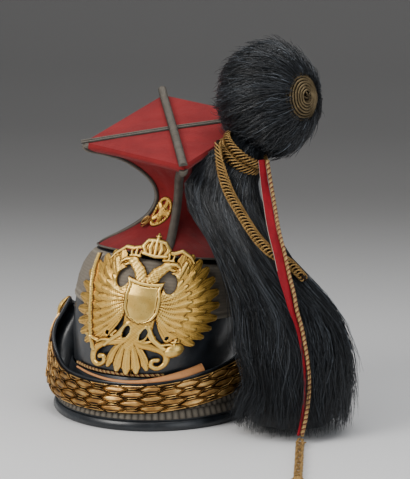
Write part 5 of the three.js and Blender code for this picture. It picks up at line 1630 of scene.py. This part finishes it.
# ---- plume ----
def boss_axes():
    """Axis of the plume's boss and two directions square to it."""
    axis = bearing(BOSS_AZIMUTH, BOSS_LIFT)
    side = unit(np.cross(axis, [0.0, 0.0, 1.0]))
    return axis, side, np.cross(side, axis)


def make_boss():
    """Dark disc of wound wire: rings of shrinking radius on a dome, with a knot in the middle."""
    axis, side, other = boss_axes()
    seat = BALL + axis * (BOSS_SEAT + GAP)
    skin = Skin()
    r = np.array([2, BOSS_R * 0.9, BOSS_R * 0.97, BOSS_R * 0.84, BOSS_R * 0.55, BOSS_R * 0.2, 0.5])
    h = np.array([0, 0, 1.5, 4.6, 8.2, 10.2, 10.6])
    lathe(skin, seat, axis, r, h, np.full(7, 0.05))
    angle = around(96)
    spoke = spokes(side, other, angle)
    for k, radius in enumerate(np.linspace(BOSS_R - 1.7, 6.4, 7)):
        height = float(np.interp(radius, [0, 4.8, 13.2, 20.2, 23.3, 24],
                                 [10.6, 10.2, 8.2, 4.6, 1.5, 0])) + 0.7
        wave = 0.35 * np.sin(angle * (5 + k % 3) + k)
        line = seat + spoke * (radius + 0.4 * wave)[:, None] + axis * (height + 0.3 * wave)[:, None]
        ring_tube(skin, line, 1.15, 8, 0.62)
    centre = seat + axis * 11.0
    for k in range(5):
        a = k * TURN / 5
        spread = side * math.cos(a) + other * math.sin(a)
        middle = centre + spread * 2.4
        aside = unit(np.cross(axis, spread)) * 0.5 + axis * 0.8
        hoop = middle + 2.2 * spokes(spread, aside, angle[::4])
        ring_tube(skin, hoop, 0.85, 7, 0.4)
    put_piece("plume_boss_wound", skin, "dark brass", "plume_boss")


def neck_line(shift):
    """Line of a cord ring round the plume's neck."""
    tilt = math.radians(RING["tilt"])
    axis = np.array([-math.sin(tilt), 0, -math.cos(tilt)])
    angle = np.linspace(0, TURN, 241)
    line = columns(RING["x"] + RING["r"] * np.cos(angle) * math.cos(tilt),
                   RING["y"] + RING["r"] * np.sin(angle) * 0.94,
                   RING["z"] - RING["r"] * np.cos(angle) * math.sin(tilt))
    bow = -RING["r"] * np.sin(angle) * math.sin(math.radians(RING["pitch"]))
    return line + axis * (shift + bow)[:, None]


def make_neck_plaits():
    """Two plaited rings round the plume's neck."""
    wire = setting("braid_wire")
    for name, node, shift in (("upper", "neck_plait_upper", 0.0),
                              ("lower", "neck_plait_lower", RING["apart"])):
        line = neck_line(shift)
        if name == "lower":
            line = outside_crown(line, PLAIT_R * 0.9)
        frames = frames_of(line, unit(line - line[:-1].mean(0)))
        skin = Skin()
        # Dark core: painted shade in the gaps between the loops.
        ring_tube(skin, line[:-1], PLAIT_R * PLAIT_SHADE_CORE, CORD_SIDES, 0.0)
        curb(skin, frames, PLAIT_R * PLAIT_BROAD - wire, wire, setting("braid_pitch"), ring=True)
        put_piece(f"neck_plait_{name}_braid", skin, "gold thread", node)


def ball_point(lat, lon, radius):
    """Point of the ball at an angle from the boss's axis and round it, at a radius."""
    axis, side, other = boss_axes()
    spoke = side * np.cos(lon)[..., None] + other * np.sin(lon)[..., None]
    offset = (axis * np.cos(lat)[..., None] + spoke * np.sin(lat)[..., None]) * radius[..., None]
    return BALL + offset * np.array([1, 1, BALL_TALL])


def fall_point(angle, z, reach):
    """Point of the fall: an angle round its section at a height, at a share of its radius.

    On the cap's side it is drawn in where the chin chain passes.
    """
    x, y, wide, deep, tilt = at_height(FALL, z)
    notch = 1 - CHAIN_NOTCH * np.exp(-((z - 50) / 19) ** 2) * smooth(-np.cos(angle), 0, 0.5)
    u = wide * reach * np.cos(angle) * notch
    v = deep * reach * np.sin(angle)
    lean = np.radians(tilt)
    return columns(x + u * np.cos(lean), y + v, z - u * np.sin(lean))


def clear(points, out):
    """Moves points of the plume out of the crown and off the skull."""
    return outside_skull(outside_crown(points, out), out)


def make_plume_cores():
    """Dark bodies under the hair: the ball, dented round the crown's corner, and the fall."""
    lat = np.radians(np.linspace(18, 176, 60))[:, None]
    lon = around(80)[None]
    lock = 1 - 0.04 * (0.5 - 0.5 * np.cos(lon * 13 + lat * 2))
    points = clear(ball_point(lat, lon + 0 * lat, BALL_CORE_R * lock), 2.0)
    put_piece("plume_ball_core", Skin().grid(points, value=0.02), "horsehair", "plume_ball")
    angle = around(96)[None]
    z = np.linspace(270, CORE_END, 90)[:, None]
    lock = 0.93 - 0.05 * (0.5 - 0.5 * np.cos(angle * 11 + z / 60)) ** 2
    lock = lock * (0.72 + 0.28 * smooth(z, CORE_END, CORE_END + 26) ** 0.5)
    points = clear(fall_point(angle, z + 0 * angle, lock), 3.0)
    points[..., 2] = np.maximum(points[..., 2], 0.6)
    put_piece("plume_fall_core", Skin().grid(points, value=0.02), "horsehair", "plume_fall")


def make_ball_hair():
    """Hair of the ball: it leaves the boss's rim, follows the globe and curls at its end."""
    n = setting("ball_strands")
    t = np.linspace(0, 1, 9)[None]
    for layer in range(2):
        rng = np.random.default_rng(31 + layer)
        start = np.radians(rng.uniform(24, 112, n) if layer else rng.uniform(22, 80, n))
        lon = rng.uniform(0, TURN, n)
        lock = np.round(lon / TURN * 46 + rng.normal(0, 0.35, n)) / 46 * TURN
        sweep = np.radians(rng.uniform(30, 62, n))
        lat = start[:, None] + sweep[:, None] * t
        swirl = rng.normal(0, 0.10, n)[:, None] * t + 0.12 * np.sin(lat * 2.2 + lock[:, None])
        pull = smooth(t, 0.2, 1.0) * 0.55
        turn = lon[:, None] * (1 - pull) + lock[:, None] * pull + swirl
        depth = rng.uniform(-3.0, 1.2, n)[:, None]
        curl = (rng.random(n) < 0.25)[:, None] * rng.uniform(0.02, 0.07, n)[:, None]
        turn = turn + curl * np.sin(t * 11 + rng.uniform(0, 6, n)[:, None])
        fray = (rng.random(n) < 0.22)[:, None] * rng.uniform(1, 8, n)[:, None] * t ** 2
        high = rng.uniform(0.2, 0.9, n)[:, None]
        wave = high * np.sin(t * rng.uniform(5, 13, n)[:, None] + rng.uniform(0, 6, n)[:, None])
        radius = BALL_R - 1.2 + depth + fray + wave + 1.6 * np.sin(lock * 7 + 1)[:, None] * t
        lines = clear(ball_point(lat, turn, radius), 1.0)
        # Pale strands here are partly random tone and partly painted highlight.
        tone = rng.gamma(0.5, 0.5, 46)[np.round(lock / TURN * 46).astype(int) % 46]
        values = np.clip(rng.gamma(0.42, 0.18, n) + 0.1 * tone, 0, 1)
        skin = Skin()
        strands(skin, lines, np.full(n, setting("strand_radius")), values)
        put_piece(f"plume_ball_hair_{layer + 1}", skin, "horsehair")


def make_fall_hair():
    """Hair of the fall: locks of waving strands that part and gather on their way down."""
    n, locks = setting("fall_strands"), 76
    t = np.linspace(0, 1, 10)[None]
    for layer in range(3):
        rng = np.random.default_rng(57 + layer)
        lock = rng.integers(0, locks, n)
        centre = rng.uniform(0, TURN, locks)[lock][:, None]
        fan = rng.normal(0, 0.085, n)[:, None]
        top = (rng.uniform(262, 270, n) if layer == 0 else rng.uniform(120, 262, n))[:, None]
        reach_down = rng.uniform(0.55, 1.0, n)[:, None] if layer else rng.uniform(0.75, 1, n)[:, None]
        ends = 1.5 + rng.exponential(5.5, n)[:, None] + 4 * rng.random(locks)[lock][:, None]
        low = np.maximum(top - (top - 2.5) * reach_down, ends)
        z = top + (low - top) * t
        gather = 0.45 + 0.55 * np.sin(z / 38 + lock[:, None] * 1.7) ** 2
        wander = 0.10 * np.sin(z / 31 + lock[:, None] * 2.3) + 0.05 * np.sin(z / 12 + lock[:, None])
        angle = centre + fan * gather + wander
        depth = (rng.uniform(0.90, 1.0, n) + rng.normal(0, 0.025, locks)[lock])[:, None]
        depth = depth + 0.035 * np.sin(z / 21 + lock[:, None] * 3.1)
        wave = 0.012 * np.sin(z / rng.uniform(4, 9, n)[:, None] + rng.uniform(0, 6, n)[:, None])
        stray = (rng.random(n) < 0.12)[:, None] * rng.uniform(0.02, 0.2, n)[:, None] * t ** 1.5
        lines = clear(fall_point(angle, z, depth + wave + stray), 1.2)
        lines[..., 2] = np.maximum(lines[..., 2], 0.5)
        # Pale strands here are partly random tone and partly painted highlight.
        tone = rng.gamma(0.42, 0.17, n) + 0.13 * rng.gamma(0.5, 0.5, locks)[lock]
        skin = Skin()
        strands(skin, lines, np.full(n, setting("strand_radius")), np.clip(tone, 0, 1))
        put_piece(f"plume_fall_hair_{layer + 1}", skin, "horsehair")


# ---- stage ----
CAMERA = {"azimuth": 8.0, "height": 10.0, "distance": 2400.0, "aim": (42.6, 34.3, 159.0)}
SENSOR = 36.0
IMAGE = (410, 479)


def make_stage():
    """Pale floor that curves up into a grey backdrop, darkened towards the back by painted shade, soft
    lights, and the camera.
    """
    shade = Shade("studio")
    # Painted shade: the floor darkens towards the back, standing in for light that falls off.
    far_shade = shade.split(shade.place())[1].step(-0.75, 1.45)
    colour = shade.mix("floor_colour", "backdrop_and_shade_colour", far_shade)
    cloud = shade.noise(1.2, 2)
    material = shade.finish(cloud, 0.05, Base_Color=colour, Roughness=0.85, Specular_IOR_Level=0.1)
    across = np.linspace(-3.2, 3.2, 9)
    run = np.array([-3.4, -1.5, 0.0, 1.2, 2.0, 2.5, 2.8, 3.0, 3.15, 3.2, 3.2, 3.2])
    high = np.array([0, 0, 0, 0, 0.015, 0.07, 0.19, 0.36, 0.58, 0.9, 1.8, 3.6])
    grid = columns(across[None], run[:, None], high[:, None])
    mesh = bpy.data.meshes.new("studio_floor")
    index = np.arange(108).reshape(12, 9)
    quads = columns(index[:-1, :-1], index[:-1, 1:], index[1:, 1:], index[1:, :-1]).reshape(-1, 4)
    mesh.from_pydata(grid.reshape(-1, 3).tolist(), [], quads.tolist())
    mesh.polygons.foreach_set("use_smooth", np.ones(len(quads), bool))
    mesh.materials.append(material)
    add_object("studio_floor", mesh)
    aim = (np.array(CAMERA["aim"]) + SKULL_AXIS) * MM
    for name, at, size, power, tint in (("key", (-1.35, -1.15, 1.5), 1.3, 34, (1.0, 0.98, 0.95)),
                                        ("fill", (1.7, -1.5, 0.9), 1.6, 11, (0.93, 0.96, 1.0)),
                                        ("top", (0.2, 0.3, 2.0), 1.8, 20, (1.0, 1.0, 1.0)),
                                        ("wall", (0.0, -0.4, 2.6), 2.4, 14, (1.0, 1.0, 1.0))):
        lamp = bpy.data.lights.new(name, "AREA")
        lamp.shape = "DISK"
        lamp.size = size
        lamp.energy = power
        lamp.color = tint
        light = add_object(name, lamp)
        light.location = at
        light.rotation_euler = look_at(np.array(at), aim)
    world = bpy.data.worlds.new("studio")
    world.use_nodes = True
    world.node_tree.nodes["Background"].inputs["Color"].default_value = (0.85, 0.87, 0.9, 1)
    world.node_tree.nodes["Background"].inputs["Strength"].default_value = 0.35
    bpy.context.scene.world = world
    lens = bpy.data.cameras.new("camera")
    lens.sensor_width = SENSOR
    lens.lens = SENSOR * CAMERA["distance"] / IMAGE[1]
    camera = add_object("camera", lens)
    place = aim + bearing(CAMERA["azimuth"], CAMERA["height"]) * CAMERA["distance"] * MM
    camera.location = place.tolist()
    camera.rotation_euler = look_at(place, aim)
    bpy.context.scene.camera = camera


def look_at(place, aim):
    """Turn of a camera or lamp at a place that points it at an aim, level with the floor."""
    way = aim - place
    flat = math.hypot(way[0], way[1])
    return (math.atan2(flat, -way[2]), 0.0, math.atan2(-way[0], way[1]))


# ---- add-on ----
class CZAPKA_OT_stage(bpy.types.Operator):
    """Adds the floor, the lights and the camera"""

    bl_idname = "czapka.stage"
    bl_label = "Stage"

    def execute(self, context):
        make_stage()
        return {"FINISHED"}


class CZAPKA_OT_cords(bpy.types.Operator):
    """Adds the plaited and twisted cords"""

    bl_idname = "czapka.cords"
    bl_label = "Free cords"

    def execute(self, context):
        make_cords()
        return {"FINISHED"}


class CZAPKA_OT_ribbon(bpy.types.Operator):
    """Adds the red ribbon over the hair"""

    bl_idname = "czapka.ribbon"
    bl_label = "Ribbon"

    def execute(self, context):
        make_ribbon()
        return {"FINISHED"}


class CZAPKA_OT_skull(bpy.types.Operator):
    """Adds the leather skull and its lace"""

    bl_idname = "czapka.skull"
    bl_label = "Skull"

    def execute(self, context):
        make_skull()
        make_band()
        return {"FINISHED"}


class CZAPKA_OT_visor(bpy.types.Operator):
    """Adds the visor, its trims and the neck peak"""

    bl_idname = "czapka.visor"
    bl_label = "Visor"

    def execute(self, context):
        make_visor()
        make_visor_trims()
        return {"FINISHED"}


class CZAPKA_OT_crown(bpy.types.Operator):
    """Adds the square cloth crown"""

    bl_idname = "czapka.crown"
    bl_label = "Crown"

    def execute(self, context):
        make_crown()
        return {"FINISHED"}


class CZAPKA_OT_laces(bpy.types.Operator):
    """Adds the tress lace of the crown"""

    bl_idname = "czapka.laces"
    bl_label = "Laces"

    def execute(self, context):
        make_laces()
        return {"FINISHED"}


class CZAPKA_OT_eagle(bpy.types.Operator):
    """Adds the cast eagle plate"""

    bl_idname = "czapka.eagle"
    bl_label = "Eagle"

    def execute(self, context):
        make_eagle()
        return {"FINISHED"}


class CZAPKA_OT_rosette(bpy.types.Operator):
    """Adds the side rosette and its loops"""

    bl_idname = "czapka.rosette"
    bl_label = "Rosette"

    def execute(self, context):
        make_rosette()
        return {"FINISHED"}


class CZAPKA_OT_chain(bpy.types.Operator):
    """Adds the chin scales and their bosses"""

    bl_idname = "czapka.chain"
    bl_label = "Chin chain"

    def execute(self, context):
        make_chin_bosses()
        make_chain()
        return {"FINISHED"}


class CZAPKA_OT_plume(bpy.types.Operator):
    """Adds the plume's bodies, boss and neck plaits"""

    bl_idname = "czapka.plume"
    bl_label = "Plume"

    def execute(self, context):
        make_plume_cores()
        make_boss()
        make_neck_plaits()
        return {"FINISHED"}


class CZAPKA_OT_hair(bpy.types.Operator):
    """Adds the plume's strands"""

    bl_idname = "czapka.hair"
    bl_label = "Hair"

    def execute(self, context):
        make_ball_hair()
        make_fall_hair()
        return {"FINISHED"}


OPERATORS = (
    CZAPKA_OT_stage, CZAPKA_OT_cords, CZAPKA_OT_ribbon, CZAPKA_OT_skull, CZAPKA_OT_visor,
    CZAPKA_OT_crown, CZAPKA_OT_laces, CZAPKA_OT_eagle, CZAPKA_OT_rosette, CZAPKA_OT_chain,
    CZAPKA_OT_plume, CZAPKA_OT_hair,
)


class CZAPKA_PT_panel(bpy.types.Panel):
    """Sidebar with the sizes, the colours and a button for each operator."""

    bl_idname = "CZAPKA_PT_panel"
    bl_label = "Czapka"
    bl_space_type = "VIEW_3D"
    bl_region_type = "UI"
    bl_category = "Czapka"

    def draw(self, context):
        """Lists the buttons, then the sizes and the colours."""
        for cls in OPERATORS:
            self.layout.operator(cls.bl_idname)
        for group in (context.scene.czapka_sizes, context.scene.czapka_looks):
            for key in group.__annotations__:
                self.layout.prop(group, key)


CLASSES = (Looks, Sizes, *OPERATORS, CZAPKA_PT_panel)


def register():
    """Adds the classes and the two groups of properties."""
    for cls in CLASSES:
        bpy.utils.register_class(cls)
    bpy.types.Scene.czapka_looks = bpy.props.PointerProperty(type=Looks)
    bpy.types.Scene.czapka_sizes = bpy.props.PointerProperty(type=Sizes)


def unregister():
    """Takes away what register added."""
    del bpy.types.Scene.czapka_looks
    del bpy.types.Scene.czapka_sizes
    for cls in reversed(CLASSES):
        bpy.utils.unregister_class(cls)


def main():
    """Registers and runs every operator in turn."""
    register()
    for cls in OPERATORS:
        family, name = cls.bl_idname.split(".")
        getattr(getattr(bpy.ops, family), name)()


if __name__ == "__main__":
    main()
